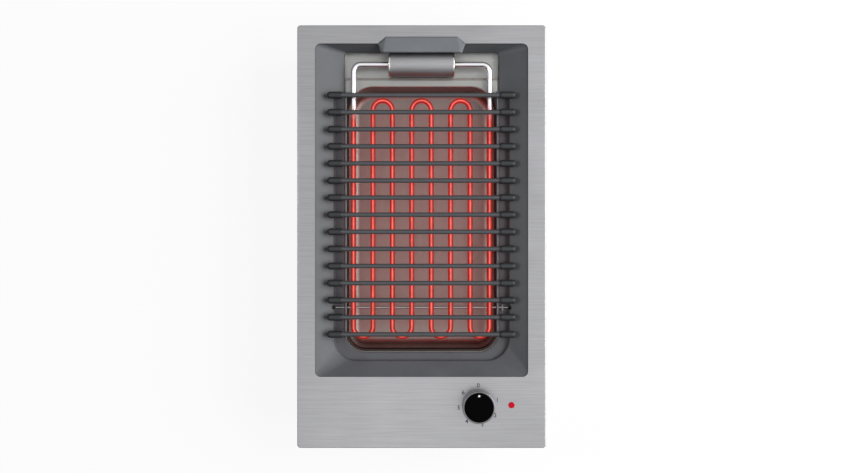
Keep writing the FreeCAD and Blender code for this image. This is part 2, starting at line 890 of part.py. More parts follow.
def make_support_rod():
    """The rod under the element's legs, a saddle clip at each leg, and a stop tab near its right end."""
    y = -size("rod_front")
    half = size("rod_length") / 2
    radius = size("rod_radius")
    subpart("support_rod", rod("support_rod", "x", radius, (-half, y, ROD_LEVEL), half * 2))
    pitch, count = size("leg_pitch"), int(SIZES["leg_count"])
    outer_x = pitch * (count - 1) / 2
    half_clip, half_length = size("clip_width") / 2, size("clip_length") / 2
    clips = []
    for number in range(count):
        x = pitch * number - outer_x
        block = box(
            f"clip_block_{number}",
            (x - half_clip, x + half_clip),
            (y - half_length, y + half_length),
            (ROD_LEVEL - radius / 2, TUBE_LEVEL),
        )
        leg = rod(
            f"clip_leg_{number}",
            "y",
            size("tube_radius"),
            (x, y - half_length * 2, TUBE_LEVEL),
            half_length * 4,
        )
        cross = rod(
            f"clip_rod_{number}",
            "x",
            radius,
            (x - half_clip * 2, y, ROD_LEVEL),
            half_clip * 4,
        )
        clips.append(cut(f"clip_{number}", block, [leg, cross]))
    subpart("rod_clips", group("rod_clips", clips))
    tab_x = size("tab_place")
    half_tab = size("tab_width") / 2
    tab = box(
        "tab_block",
        (tab_x - half_tab, tab_x + half_tab),
        (y - size("tab_length") + radius * 2, y + radius * 2),
        (ROD_LEVEL - radius / 2, ROD_LEVEL - radius + size("tab_height")),
    )
    hole = rod("tab_hole", "x", radius, (tab_x - half_tab * 2, y, ROD_LEVEL), half_tab * 4)
    subpart("rod_stop", cut("rod_stop", tab, [hole]))


def make_grid():
    """Round bars pushed into cast end pieces, tied by two thin rods under the bars."""
    pitch, count = size("bar_pitch"), int(SIZES["bar_count"])
    half = size("grid_width") / 2
    end_radius = size("end_radius")
    bar_half = half - size("end_wall")
    tie_level = BAR_LEVEL - size("bar_radius") - size("tie_radius") + size("weld_depth")
    first_y = -size("bar_front")
    tie_start = first_y - size("tie_past_bar")
    tie_length = pitch * (count - 1) + size("tie_past_bar") * 2
    bars, feet, ties = [], [], []

    def is_round(edge):
        return edge.Curve.TypeId == "Part::GeomCircle"

    for side, outwards in (("left", -1), ("right", 1)):
        start = (size("tie_place") * outwards, tie_start, tie_level)
        ties.append(rod(f"grid_tie_{side}", "y", size("tie_radius"), start, tie_length))
    for number in range(count):
        y = pitch * number + first_y
        start = (-bar_half, y, BAR_LEVEL)
        blank = rod(f"bar_blank_{number}", "x", size("bar_radius"), start, bar_half * 2)
        bars.append(cut(f"bar_{number}", blank, ties))
        for side, outwards in (("left", -1), ("right", 1)):
            mark = f"{number}_{side}"
            inner_x = half - size("end_length")
            straight = rod(
                f"end_straight_{mark}",
                "x",
                end_radius,
                (-half if outwards < 0 else inner_x, y, BAR_LEVEL),
                size("end_length"),
            )
            capsule = rounded(f"end_capsule_{mark}", straight, size("end_round"), is_round)
            foot = DOC.addObject("Part::Cone", f"foot_{mark}")
            bind(foot, "Radius1", size("foot_bottom_radius"))
            bind(foot, "Radius2", size("foot_top_radius"))
            bind(foot, "Height", BAR_LEVEL - LEDGE_TOP)
            place(foot, size("foot_place") * outwards, y, LEDGE_TOP)
            whole = fuse(f"end_whole_{mark}", [capsule, foot])
            hole_depth = bar_half - inner_x + end_radius
            hole_x = -bar_half if outwards < 0 else inner_x - end_radius
            hole_start = (hole_x, y, BAR_LEVEL)
            hole = rod(f"end_hole_{mark}", "x", size("bar_radius"), hole_start, hole_depth)
            feet.append(cut(f"end_{mark}", whole, [hole]))
    subpart("grid_bars", group("grid_bars", bars))
    subpart("grid_feet", group("grid_feet", feet))
    for side, tie_rod in zip(("left", "right"), ties):
        subpart(f"grid_tie_{side}", tie_rod)


def make_drip_pan():
    """A deep drawn tray: its cavity is a body of its own, so that inside and outside keep one wall."""
    outside = new_body("pan_outside_body")
    wall = size("pan_wall")
    floor = PAN_RIM_TOP - size("pan_depth")
    bottom = floor - wall
    pad(outside, "pan_rim", PAN_RIM_PLAN, PAN_RIM_UNDERSIDE, PAN_RIM_TOP)
    soften(outside, "pan_rim_edge", size("pan_rim_round"), at_level(PAN_RIM_TOP))
    outer_mouth, outer_floor = grown(PAN_MOUTH_PLAN, wall), grown(PAN_FLOOR_PLAN, wall)
    loft(outside, "pan_outside", "Additive", outer_floor, bottom, outer_mouth, PAN_RIM_UNDERSIDE)
    soften(outside, "pan_outside_round", size("pan_bottom_round") + wall, at_level(bottom))
    cavity = new_body("pan_cavity_body")
    loft(cavity, "pan_inside", "Additive", PAN_FLOOR_PLAN, floor, PAN_MOUTH_PLAN, PAN_RIM_TOP)
    soften(cavity, "pan_inside_round", size("pan_bottom_round"), at_level(floor))
    tray = cut("pan_tray", outside, [cavity])
    is_flat = at_level(PAN_RIM_TOP)
    mouth_half = PAN_MOUTH_PLAN.right + wall / 2
    mouth_back = PAN_MOUTH_PLAN.back + wall / 2

    def is_mouth(edge):
        reach = max(abs(edge.BoundBox.XMin), abs(edge.BoundBox.XMax))
        inside = reach < mouth_half.value and edge.BoundBox.YMax < mouth_back.value
        return is_flat(edge) and inside

    subpart("drip_pan", rounded("drip_pan", tray, size("pan_mouth_round"), is_mouth))


def make_pan_seat():
    """The flat ring in the liner that the pan's rim lies on."""
    gap = size("pan_wall") + size("pan_seat_gap")
    body = new_body("pan_seat")
    outside = plan(
        size("opening_width") / 2,
        -size("opening_front"),
        size("shelf_front") - size("pan_seat_gap"),
        size("opening_front_corner"),
        size("opening_back_corner"),
    )
    bottom = PAN_RIM_UNDERSIDE - size("pan_seat_gauge")
    pad(body, "seat_ring", outside, bottom, PAN_RIM_UNDERSIDE)
    pocket(body, "seat_hole", grown(PAN_MOUTH_PLAN, gap), PAN_RIM_TOP, bottom - gap)
    subpart("pan_seat", body)


def make_liner():
    """A pressed tub under the surround, with a flange at its top."""
    wall = size("liner_wall")
    floor_round = size("liner_bottom_round")
    outside = new_body("liner_outside_body")
    flange_bottom = LEDGE_UNDERSIDE - wall
    flange = grown(OPENING_PLAN, wall + size("liner_flange"))
    pad(outside, "liner_flange", flange, flange_bottom, LEDGE_UNDERSIDE)
    pad(outside, "liner_tub", grown(OPENING_PLAN, wall), LINER_BOTTOM - wall, flange_bottom)
    soften(outside, "liner_outside_round", floor_round, at_level(LINER_BOTTOM - wall))
    cavity = new_body("liner_cavity_body")
    pad(cavity, "liner_inside", OPENING_PLAN, LINER_BOTTOM, LEDGE_TOP)
    soften(cavity, "liner_inside_round", floor_round - wall, at_level(LINER_BOTTOM))
    subpart("well_liner", cut("well_liner", outside, [cavity]))


def make_casing():
    """Four wall panels that hang from the plate, and a base tray that slides up between them.

    The side panels turn the corners, and the front and back panels are welded between them.
    """
    walls = new_body("casing_walls")
    pad(walls, "casing_blank", CASING_PLAN, CASING_BOTTOM, PLATE_UNDERSIDE)
    beyond = size("casing_gauge")
    pocket(walls, "casing_inside", CASING_INSIDE, PLATE_UNDERSIDE, CASING_BOTTOM - beyond)
    entry = rod(
        "entry_hole",
        "y",
        size("entry_neck"),
        (-size("entry_x"), CASING_INSIDE.back - beyond, entry_level()),
        beyond * 3,
    )
    screw_holes = []
    for mark, start_x, y, outwards in screw_places():
        length = size("casing_gauge") * 3
        x = start_x - length / 2
        point = (x, y, BASE_TOP + size("screw_up"))
        screw_holes.append(rod(f"casing_screw_hole_{mark}", "x", size("screw_radius"), point, length))
    shell = cut("casing_shell", walls, [entry] + screw_holes)
    left_seam = CASING_PLAN.left + size("casing_turn")
    right_seam = CASING_PLAN.right - size("casing_turn")
    whole_depth = (CASING_PLAN.front, CASING_PLAN.back)
    panels = {
        "casing_left": ((CASING_PLAN.left, left_seam), whole_depth),
        "casing_right": ((right_seam, CASING_PLAN.right), whole_depth),
        "casing_front": ((left_seam, right_seam), (CASING_PLAN.front, CASING_INSIDE.front)),
        "casing_back": ((left_seam, right_seam), (CASING_INSIDE.back, CASING_PLAN.back)),
    }
    for name, (reach_x, reach_y) in panels.items():
        share = box(name + "_share", reach_x, reach_y, (CASING_BOTTOM, PLATE_UNDERSIDE))
        subpart(name, common(name, shell, share))
    tray_plan = grown(CASING_INSIDE, -size("base_gap"))
    tray = new_body("base_tray_body")
    lip_top = BASE_TOP + size("base_lip")
    pad(tray, "tray_blank", tray_plan, CASING_BOTTOM, lip_top)
    pocket(tray, "tray_inside", grown(tray_plan, -size("base_gauge")), lip_top, BASE_TOP)
    vents = []
    count = int(SIZES["vent_count"])
    half_length, half_width = size("vent_length") / 2, size("vent_width") / 2
    for number in range(count):
        x = size("vent_pitch") * number - size("vent_pitch") * (count - 1) / 2
        y = -size("vent_front")
        vents.append(
            box(
                f"vent_{number}",
                (x - half_width, x + half_width),
                (y - half_length, y + half_length),
                (CASING_BOTTOM - size("base_gauge"), lip_top),
            )
        )
    tray_holes = []
    for mark, start_x, y, outwards in screw_places():
        length = size("screw_length")
        x = start_x - length * (1 if outwards > 0 else 0)
        point = (x, y, BASE_TOP + size("screw_up"))
        tray_holes.append(rod(f"tray_screw_hole_{mark}", "x", size("screw_radius"), point, length))
    subpart("base_tray", cut("base_tray", tray, vents + tray_holes))


def entry_level():
    return BASE_TOP + size("entry_height") + size("entry_flange") / 2


def screw_places():
    """Name, outer wall place on X, place on Y and side of each base screw."""
    half = size("casing_width") / 2
    rows = int(SIZES["screw_rows"])
    for side, outwards in (("left", -1), ("right", 1)):
        for row in range(rows):
            y = size("screw_pitch") * row - size("screw_pitch") * (rows - 1) / 2
            yield f"{side}_{row}", half * outwards, y, outwards


def make_base_screws():
    screws = []
    level = BASE_TOP + size("screw_up")
    length, head = size("screw_length"), size("screw_head_height")
    for mark, wall_x, y, outwards in screw_places():
        shank_x = wall_x if outwards < 0 else wall_x - length
        head_x = wall_x - head if outwards < 0 else wall_x
        shank = rod(f"shank_{mark}", "x", size("screw_radius"), (shank_x, y, level), length)
        top = rod(f"head_{mark}", "x", size("screw_head_radius"), (head_x, y, level), head)
        screws.append(fuse(f"screw_{mark}", [shank, top]))
    subpart("base_screws", group("base_screws", screws))


def make_inner_sheets():
    """The wall between grill and controls, the shield under the liner, and the mat on it."""
    inside = grown(CASING_INSIDE, -size("base_gap"))
    front = -size("partition_front")
    back = front + size("partition_gauge")
    tray_inside = grown(inside, -size("base_gauge"))
    wall = box(
        "partition",
        (tray_inside.left, tray_inside.right),
        (front, back),
        (BASE_TOP, PLATE_UNDERSIDE - size("surround_gauge") - size("partition_drop")),
    )
    subpart("partition", wall)
    shield_front = back
    gauge = size("shield_gauge")
    shield_back = inside.back - size("casing_corner")
    bottom = SHIELD_TOP - size("shield_lip")
    blank = box(
        "shield_blank",
        (inside.left, inside.right),
        (shield_front, shield_back),
        (bottom, SHIELD_TOP),
    )
    hollow = box(
        "shield_hollow",
        (inside.left + gauge, inside.right - gauge),
        (shield_front + gauge, shield_back - gauge),
        (bottom - gauge, SHIELD_TOP - gauge),
    )
    subpart("heat_shield", cut("heat_shield", blank, [hollow]))
    margin = size("mat_margin")
    mat = box(
        "insulation_mat",
        (OPENING_PLAN.left - margin, OPENING_PLAN.right + margin),
        (OPENING_PLAN.front - margin, OPENING_PLAN.back + margin),
        (SHIELD_TOP, LINER_BOTTOM - size("liner_wall") - size("mat_gap")),
    )
    subpart("insulation_mat", mat)
    cutout_top = SHIELD_TOP - gauge
    cutout = rod(
        "thermal_cutout",
        "z",
        size("cutout_radius"),
        (ZERO, ZERO, cutout_top - size("cutout_height")),
        size("cutout_height"),
    )
    subpart("thermal_cutout", cutout)


def make_regulator():
    """Body, neck nut, bracket, blade terminals, shaft and the seal in the plate."""
    x, y = size("knob_x"), KNOB_Y
    half = size("regulator_side") / 2
    body_top = PLATE_UNDERSIDE - size("regulator_drop")
    body_bottom = body_top - size("regulator_height")
    shaft = size("shaft_radius")
    running = shaft + size("turning_gap")
    shaft_foot = body_top - size("shaft_in_body")
    shaft_top = CAP_FOOT + size("shaft_in_knob")
    block = box("regulator_block", (x - half, x + half), (y - half, y + half), (body_bottom, body_top))
    neck = rod("regulator_neck", "z", size("neck_radius"), (x, y, body_top), size("neck_height"))
    bore = rod("regulator_bore", "z", running, (x, y, shaft_foot), shaft_top - shaft_foot)
    whole = fuse("regulator_whole", [block, neck])
    subpart("regulator_body", cut("regulator_body", whole, [bore]))
    subpart("regulator_shaft", rod("regulator_shaft", "z", shaft, (x, y, shaft_foot), shaft_top - shaft_foot))
    gauge = size("bracket_gauge")
    reach, half_bracket = size("bracket_reach"), size("bracket_width") / 2
    deck = box(
        "bracket_deck",
        (x - reach, x + reach),
        (y - half_bracket, y + half_bracket),
        (body_top, body_top + gauge),
    )
    legs = [
        box(
            "bracket_leg_left",
            (x - reach, x - reach + gauge),
            (y - half_bracket, y + half_bracket),
            (body_top, PLATE_UNDERSIDE),
        ),
        box(
            "bracket_leg_right",
            (x + reach - gauge, x + reach),
            (y - half_bracket, y + half_bracket),
            (body_top, PLATE_UNDERSIDE),
        ),
    ]
    neck_hole = rod("bracket_hole", "z", size("neck_radius"), (x, y, body_top), gauge)
    strap = fuse("bracket_whole", [deck] + legs)
    subpart("regulator_bracket", cut("regulator_bracket", strap, [neck_hole]))
    nut_foot = body_top + gauge
    nut = hexagon("nut_blank", "z", size("nut_radius"), (x, y, nut_foot), size("nut_height"))
    nut_hole = rod("nut_hole", "z", size("neck_radius"), (x, y, nut_foot), size("nut_height"))
    subpart("regulator_nut", cut("regulator_nut", nut, [nut_hole]))
    blades = []
    count = int(SIZES["blade_count"])
    half_blade, half_gauge = size("blade_width") / 2, size("blade_gauge") / 2
    for number in range(count):
        blade_y = y + size("blade_pitch") * number - size("blade_pitch") * (count - 1) / 2
        blades.append(
            box(
                f"blade_{number}",
                (x - half_blade, x + half_blade),
                (blade_y - half_gauge, blade_y + half_gauge),
                (body_bottom - size("blade_length"), body_bottom),
            )
        )
    subpart("regulator_blades", group("regulator_blades", blades))
    seal = rod("seal_blank", "z", size("seal_radius"), (x, y, PLATE_UNDERSIDE), size("plate_gauge"))
    seal_hole = rod("seal_hole", "z", running, (x, y, PLATE_UNDERSIDE), size("plate_gauge"))
    subpart("shaft_seal", cut("shaft_seal", seal, [seal_hole]))


def make_knob():
    """A black cap pressed into a metal ring, with a white pointer dot."""
    x, y = size("knob_x"), KNOB_Y
    bezel_top = PLATE_TOP + size("bezel_height")
    sleeve = rod("bezel_blank", "z", size("bezel_radius"), (x, y, KNOB_BASE), bezel_top - KNOB_BASE)
    soft = rounded("bezel_soft", sleeve, size("bezel_round"), at_level(bezel_top))
    hole = rod("bezel_hole", "z", size("cap_radius"), (x, y, KNOB_BASE), bezel_top - KNOB_BASE)
    subpart("knob_bezel", cut("knob_bezel", soft, [hole]))
    cap = rod("cap_blank", "z", size("cap_radius"), (x, y, CAP_FOOT), KNOB_TOP - CAP_FOOT)
    cap_soft = rounded("cap_soft", cap, size("knob_cap_round"), at_level(KNOB_TOP))
    bore = rod("cap_bore", "z", size("shaft_radius"), (x, y, CAP_FOOT), size("shaft_in_knob"))
    dot_y = y + size("pointer_place")
    dot_foot = KNOB_TOP - size("pointer_sunk")
    dot_height = size("pointer_sunk") + size("pointer_proud")
    dot = rod("knob_pointer", "z", size("pointer_radius"), (x, dot_y, dot_foot), dot_height)
    subpart("knob_cap", cut("knob_cap", cap_soft, [bore, dot]))
    subpart("knob_pointer", dot)


def make_lamp():
    """Lens with its neck through the plate, holder below and a push-on ring."""
    x, y = size("lamp_x"), LAMP_Y
    neck_foot = PLATE_TOP - size("lens_neck_length")
    head = rod("lens_head", "z", size("lens_radius"), (x, y, PLATE_TOP), size("lens_height"))
    soft = rounded("lens_soft", head, size("lens_round"), at_level(PLATE_TOP + size("lens_height")))
    neck = rod("lens_neck", "z", size("lens_neck_radius"), (x, y, neck_foot), size("lens_neck_length"))
    subpart("lamp_lens", fuse("lamp_lens", [soft, neck]))
    ring_foot = PLATE_UNDERSIDE - size("lamp_ring_height")
    ring_start, ring_height = (x, y, ring_foot), size("lamp_ring_height")
    ring = rod("lamp_ring_blank", "z", size("lamp_ring_radius"), ring_start, ring_height)
    ring_hole = rod(
        "lamp_ring_hole", "z", size("lens_neck_radius"), (x, y, ring_foot), size("lamp_ring_height")
    )
    subpart("lamp_ring", cut("lamp_ring", ring, [ring_hole]))
    holder_foot = ring_foot - size("lamp_body_length")
    body_start, body_length = (x, y, holder_foot), size("lamp_body_length")
    holder = rod("lamp_holder_blank", "z", size("lamp_body_radius"), body_start, body_length)
    holder_hole = rod(
        "lamp_holder_hole", "z", size("lens_neck_radius"), (x, y, neck_foot), size("lens_neck_length")
    )
    subpart("lamp_holder", cut("lamp_holder", holder, [holder_hole]))


def make_mains_entry():
    """Bush and nut in the casing's back wall, terminal block, earth stud and its nut."""
    x, level = -size("entry_x"), entry_level()
    wall_out, wall_in = CASING_PLAN.back, CASING_INSIDE.back
    proud, inside = size("entry_proud"), size("entry_inside")
    neck_start = wall_in - inside
    neck = rod("entry_neck_blank", "y", size("entry_neck"), (x, neck_start, level), wall_out - neck_start)
    flange = rod("entry_flange_blank", "y", size("entry_flange"), (x, wall_out, level), proud)
    bore = rod("entry_bore", "y", size("entry_bore"), (x, neck_start, level), wall_out + proud - neck_start)
    whole = fuse("entry_whole", [neck, flange])
    subpart("cable_bush", cut("cable_bush", whole, [bore]))
    nut_length = size("entry_nut_length")
    nut_start = wall_in - nut_length
    nut = hexagon("entry_nut_blank", "y", size("entry_nut_radius"), (x, nut_start, level), nut_length)
    nut_hole = rod("entry_nut_hole", "y", size("entry_neck"), (x, nut_start, level), nut_length)
    subpart("cable_bush_nut", cut("cable_bush_nut", nut, [nut_hole]))
    half_width, half_depth = size("block_width") / 2, size("block_depth") / 2
    back = size("block_back")
    top = BASE_TOP + size("block_height")
    block_x = (x - half_width, x + half_width)
    block_y = (back - half_depth, back + half_depth)
    block = box("block_blank", block_x, block_y, (BASE_TOP, top))
    count = int(SIZES["block_screw_count"])
    step = size("block_width") / count
    screws = []
    for number in range(count):
        screw_x = x + step * number - step * (count - 1) / 2
        point = (screw_x, back, top)
        screws.append(
            rod(f"block_screw_{number}", "z", size("block_screw_radius"), point, size("block_screw_height"))
        )
    subpart("terminal_block", block)
    subpart("terminal_screws", group("terminal_screws", screws))
    earth_x = x + half_width + size("earth_place")
    stud = rod("earth_stud", "z", size("earth_radius"), (earth_x, back, BASE_TOP), size("earth_height"))
    subpart("earth_stud", stud)
    earth_nut = hexagon(
        "earth_nut_blank", "z", size("earth_nut_radius"), (earth_x, back, BASE_TOP), size("earth_nut_height")
    )
    earth_foot = (earth_x, back, BASE_TOP)
    earth_hole = rod("earth_nut_hole", "z", size("earth_radius"), earth_foot, size("earth_nut_height"))
    subpart("earth_nut", cut("earth_nut", earth_nut, [earth_hole]))


def make_clamps():
    """Four angle brackets on the casing's sides, each with a screw that presses up under the worktop."""
    half = size("casing_width") / 2
    half_width = size("clamp_width") / 2
    gauge = size("clamp_gauge")
    lip_top = -(size("worktop_thickness") + size("clamp_drop"))
    lip_bottom = lip_top - gauge
    leg_top = lip_bottom + size("clamp_leg")
    brackets, screws = [], []
    for side, outwards in (("left", -1), ("right", 1)):
        for end, y_sign in (("front", -1), ("back", 1)):
            mark = f"{side}_{end}"
            y = size("clamp_back") * y_sign
            near, far = half * outwards, (half + size("clamp_reach")) * outwards
            leg_far = (half + gauge) * outwards
            lip_x = (far, near) if outwards < 0 else (near, far)
            leg_x = (leg_far, near) if outwards < 0 else (near, leg_far)
            across = (y - half_width, y + half_width)
            lip = box(f"clamp_lip_{mark}", lip_x, across, (lip_bottom, lip_top))
            leg = box(f"clamp_leg_{mark}", leg_x, across, (lip_bottom, leg_top))
            screw_x = (half + size("clamp_screw_place")) * outwards
            foot = lip_bottom - size("clamp_screw_tail")
            point = (screw_x, y, foot)
            length = -size("worktop_thickness") - foot
            shank = rod(f"clamp_shank_{mark}", "z", size("clamp_screw_radius"), point, length)
            head_point = (screw_x, y, foot - size("clamp_head_height"))
            head = rod(
                f"clamp_head_{mark}",
                "z",
                size("clamp_head_radius"),
                head_point,
                size("clamp_head_height"),
            )
            whole = fuse(f"clamp_whole_{mark}", [lip, leg])
            brackets.append(cut(f"clamp_{mark}", whole, [shank]))
            screws.append(fuse(f"clamp_screw_{mark}", [shank, head]))
    subpart("clamp_brackets", group("clamp_brackets", brackets))
    subpart("clamp_screws", group("clamp_screws", screws))


def check_document():
    """Stops if any object failed or any sub-part isn't a sound solid."""
    for thing in DOC.Objects:
        if "Invalid" in thing.State or "Error" in thing.State:
            print(f"{thing.Name}: {thing.State} {thing.getStatusString()}")
    for thing in DOC.Objects:
        if "Invalid" in thing.State or "Error" in thing.State:
            raise RuntimeError(f"{thing.Name} failed")
    for name, thing in SUBPARTS:
        shape = thing.Shape
        if shape.isNull() or not shape.isValid() or not shape.Solids:
            raise RuntimeError(f"{name} has no sound solid")


def write_steps():
    os.makedirs("parts", exist_ok=True)
    for name, thing in SUBPARTS:
        thing.Shape.exportStep(f"parts/{name}.step")


make_top_plate()
make_gasket()
make_hinge_cover(make_surround())
make_hinge()
make_element()
make_support_rod()
make_grid()
make_drip_pan()
make_pan_seat()
make_liner()
make_casing()
make_base_screws()
make_inner_sheets()
make_regulator()
make_knob()
make_lamp()
make_mains_entry()
make_clamps()
DOC.recompute()
check_document()
write_steps()
print(f"{len(SUBPARTS)} sub-parts written")
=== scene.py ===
"""Looks for the built-in electric grill, laid out as a Blender add-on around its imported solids."""

import math

import bmesh
import bpy
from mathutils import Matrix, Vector


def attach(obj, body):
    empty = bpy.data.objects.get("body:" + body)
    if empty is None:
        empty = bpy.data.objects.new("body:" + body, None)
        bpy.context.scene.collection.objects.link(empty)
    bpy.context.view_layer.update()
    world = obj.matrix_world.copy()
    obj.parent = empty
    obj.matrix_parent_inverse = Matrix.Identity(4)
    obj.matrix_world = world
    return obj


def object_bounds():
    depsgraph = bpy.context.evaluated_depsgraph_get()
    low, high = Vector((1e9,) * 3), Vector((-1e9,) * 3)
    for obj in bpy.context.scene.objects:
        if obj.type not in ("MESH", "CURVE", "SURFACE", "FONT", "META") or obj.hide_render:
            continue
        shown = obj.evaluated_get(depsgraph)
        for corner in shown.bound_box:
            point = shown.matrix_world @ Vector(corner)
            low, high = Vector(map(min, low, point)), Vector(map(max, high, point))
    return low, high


bl_info = {
    "name": "Built-in Electric Grill",
    "version": (1, 0, 0),
    "blender": (4, 5, 0),
    "location": "3D View > Sidebar > Grill",
    "description": "Gives the packed grill its metals, enamel, glowing element and printed dial",
    "category": "Object",
}

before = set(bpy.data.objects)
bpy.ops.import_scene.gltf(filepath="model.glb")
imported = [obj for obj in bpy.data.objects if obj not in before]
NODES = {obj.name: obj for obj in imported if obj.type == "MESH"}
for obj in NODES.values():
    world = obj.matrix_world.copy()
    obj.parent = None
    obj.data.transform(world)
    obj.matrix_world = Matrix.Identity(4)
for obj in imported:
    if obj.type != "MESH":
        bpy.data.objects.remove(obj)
CAD_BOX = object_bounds()

# sockets of the Mix node when it mixes colours
FACTOR = 0
FIRST = 6
SECOND = 7
MIXED = 2

PHOTO_WIDTH = 841
MM_PER_PIXEL = 1.206
# the photograph's middle, measured from the middle of the plate, in pixels
PHOTO_OFFSET = (-1.05, 0.1)
CAMERA_HEIGHT = 1.335
PLATE_TOP = 0.005
SENSOR = 36.0
KNOB_CENTRE = (0.0684, -0.2035)
# clockwise angles of the dial's numbers from the back of the plate, in degrees
DIAL_ANGLES = (0.0, 74.0, 121.0, 168.0, 215.5, 263.0, 310.0)
# how far the printed ink spreads past the outline of a number
INK_SPREAD = 0.00008
# how bright the white world is where it lights matt surfaces
DAYLIGHT = 0.24

# share of plain white that the floor shows the camera; the rest is lit paint, which keeps the shadow
FLOOR_WHITE = 0.9
# the paint sends back 92% of the light on it
FLOOR_PAINT = (0.92, 0.92, 0.92, 1.0)
FLOOR_RADIUS = 6.0
FLOOR_SIDES = 96
# the floor lies this far under the casing, so that the two don't share a face
FLOOR_GAP = 0.0002
# heights of the sky between which metal sees walls turn into ceiling, and how bright the walls are
CEILING_HEIGHT = (0.25, 0.95)
WALL_LEVEL = 0.22

# nearly all values of a noise texture lie between these two
NOISE_LOW = 0.3
NOISE_HIGH = 0.7

# the tube's two outer legs lie beyond this distance from its middle, and turn cold over this stretch
OUTER_LEG_X = 0.068
COLD_LEG_Y = (0.138, 0.166)
# past this line, beside the hinge, all of the tube is cold
PIVOT_Y = 0.18
# stretch over which the glow of the tube's sides turns from the front colour to the back colour
GLOW_LENGTH_Y = (-0.12, 0.16)
# how far up the tube's skin faces where its shoulders, its top and its underside take their glow; the
# brighter glow on its shoulders and top is a painted highlight
PAINTED_HIGHLIGHT_EDGE_FACING = (0.74, 0.99)
PAINTED_HIGHLIGHT_FACING = (0.975, 1.0)
UNDER_FACING = (0.15, -0.35)
# values of the oxide's noise between which its patches dim or brighten the glow, and by how much
OXIDE_NOISE = (0.35, 0.65)
OXIDE_GLOW = (0.82, 1.12)

# heights over which the pan's side turns into its rim, which is darkened with painted shade, and the
# stretch where its rear flange begins
PAN_RIM_Z = (-0.0195, -0.0172)
PAN_FLANGE_Y = (0.174, 0.178)
PAN_ROUGHNESS = (0.39, 0.48)
SPANGLE_ROUGHNESS = (0.32, 0.5)

# heights of the fine relief in the finishes
PEEL_HEIGHT = 0.00004
SPANGLE_HEIGHT = 0.00003
RING_HEIGHT = 0.00002
OXIDE_HEIGHT = 0.00003
THREAD_HEIGHT = 0.0003
DRAW_LINE_HEIGHT = 0.000002
PRISM_HEIGHT = 0.0001


def linear(code):
    """An sRGB hex colour as linear red, green, blue and alpha."""
    values = [int(code[i : i + 2], 16) / 255 for i in (1, 3, 5)]
    return tuple(v / 12.92 if v <= 0.04045 else ((v + 0.055) / 1.055) ** 2.4 for v in values) + (1.0,)


def per_mm(*lengths):
    """Texture scale for features of these lengths in millimetres."""
    return tuple(1000 / length for length in lengths)


def add(tree, kind, settings=None, links=None):
    """Adds a node with its settings, its socket values and its links."""
    made = tree.nodes.new(kind)
    for key, value in (settings or {}).items():
        if isinstance(key, str) and hasattr(made, key):
            setattr(made, key, value)
        else:
            made.inputs[key].default_value = value
    for key, socket in (links or {}).items():
        tree.links.new(socket, made.inputs[key])
    return made


def new_material(name):
    """An empty node material and its tree."""
    material = bpy.data.materials.new(name)
    material.use_nodes = True
    material.node_tree.nodes.clear()
    return material, material.node_tree


def rolled_steel(name, low, high, roughness, streak, depth_mm):
    """Metal with fine lines: streak is the length of a line along X, Y and Z in millimetres.

    Equal lengths give soft patches. Real lines and grains are a tenth of a millimetre wide or less and
    wouldn't show, so they are drawn as coarse as the lengths say.
    """
    wave_mm = 70
    gloss_share = 0.12
    material, tree = new_material(name)
    place = add(tree, "ShaderNodeTexCoord").outputs["Object"]
    stretched = add(tree, "ShaderNodeMapping", {"Scale": per_mm(*streak)}, {"Vector": place})
    lines = add(
        tree,
        "ShaderNodeTexNoise",
        {"Scale": 1.0, "Detail": 4.0, "Roughness": 0.65},
        {"Vector": stretched.outputs[0]},
    )
    broad = add(tree, "ShaderNodeTexNoise", {"Scale": 1000 / wave_mm, "Detail": 2.0}, {"Vector": place})
    tone = add(
        tree,
        "ShaderNodeMapRange",
        {"From Min": NOISE_LOW, "From Max": NOISE_HIGH},
        {"Value": lines.outputs[0]},
    )
    mixed = add(
        tree,
        "ShaderNodeMix",
        {"data_type": "RGBA", FIRST: low, SECOND: high},
        {FACTOR: tone.outputs[0]},
    )
    gloss = add(
        tree,
        "ShaderNodeMapRange",
        {
            "From Min": NOISE_LOW,
            "From Max": NOISE_HIGH,
            "To Min": roughness * (1 - gloss_share),
            "To Max": roughness * (1 + gloss_share),
        },
        {"Value": broad.outputs[0]},
    )
    bump = add(
        tree,
        "ShaderNodeBump",
        {"Strength": 0.6, "Distance": depth_mm / 1000},
        {"Height": lines.outputs[0]},
    )
    shader = add(
        tree,
        "ShaderNodeBsdfPrincipled",
        {"Metallic": 1.0},
        {"Base Color": mixed.outputs[MIXED], "Roughness": gloss.outputs[0], "Normal": bump.outputs[0]},
    )
    add(tree, "ShaderNodeOutputMaterial", None, {"Surface": shader.outputs["BSDF"]})
    return material


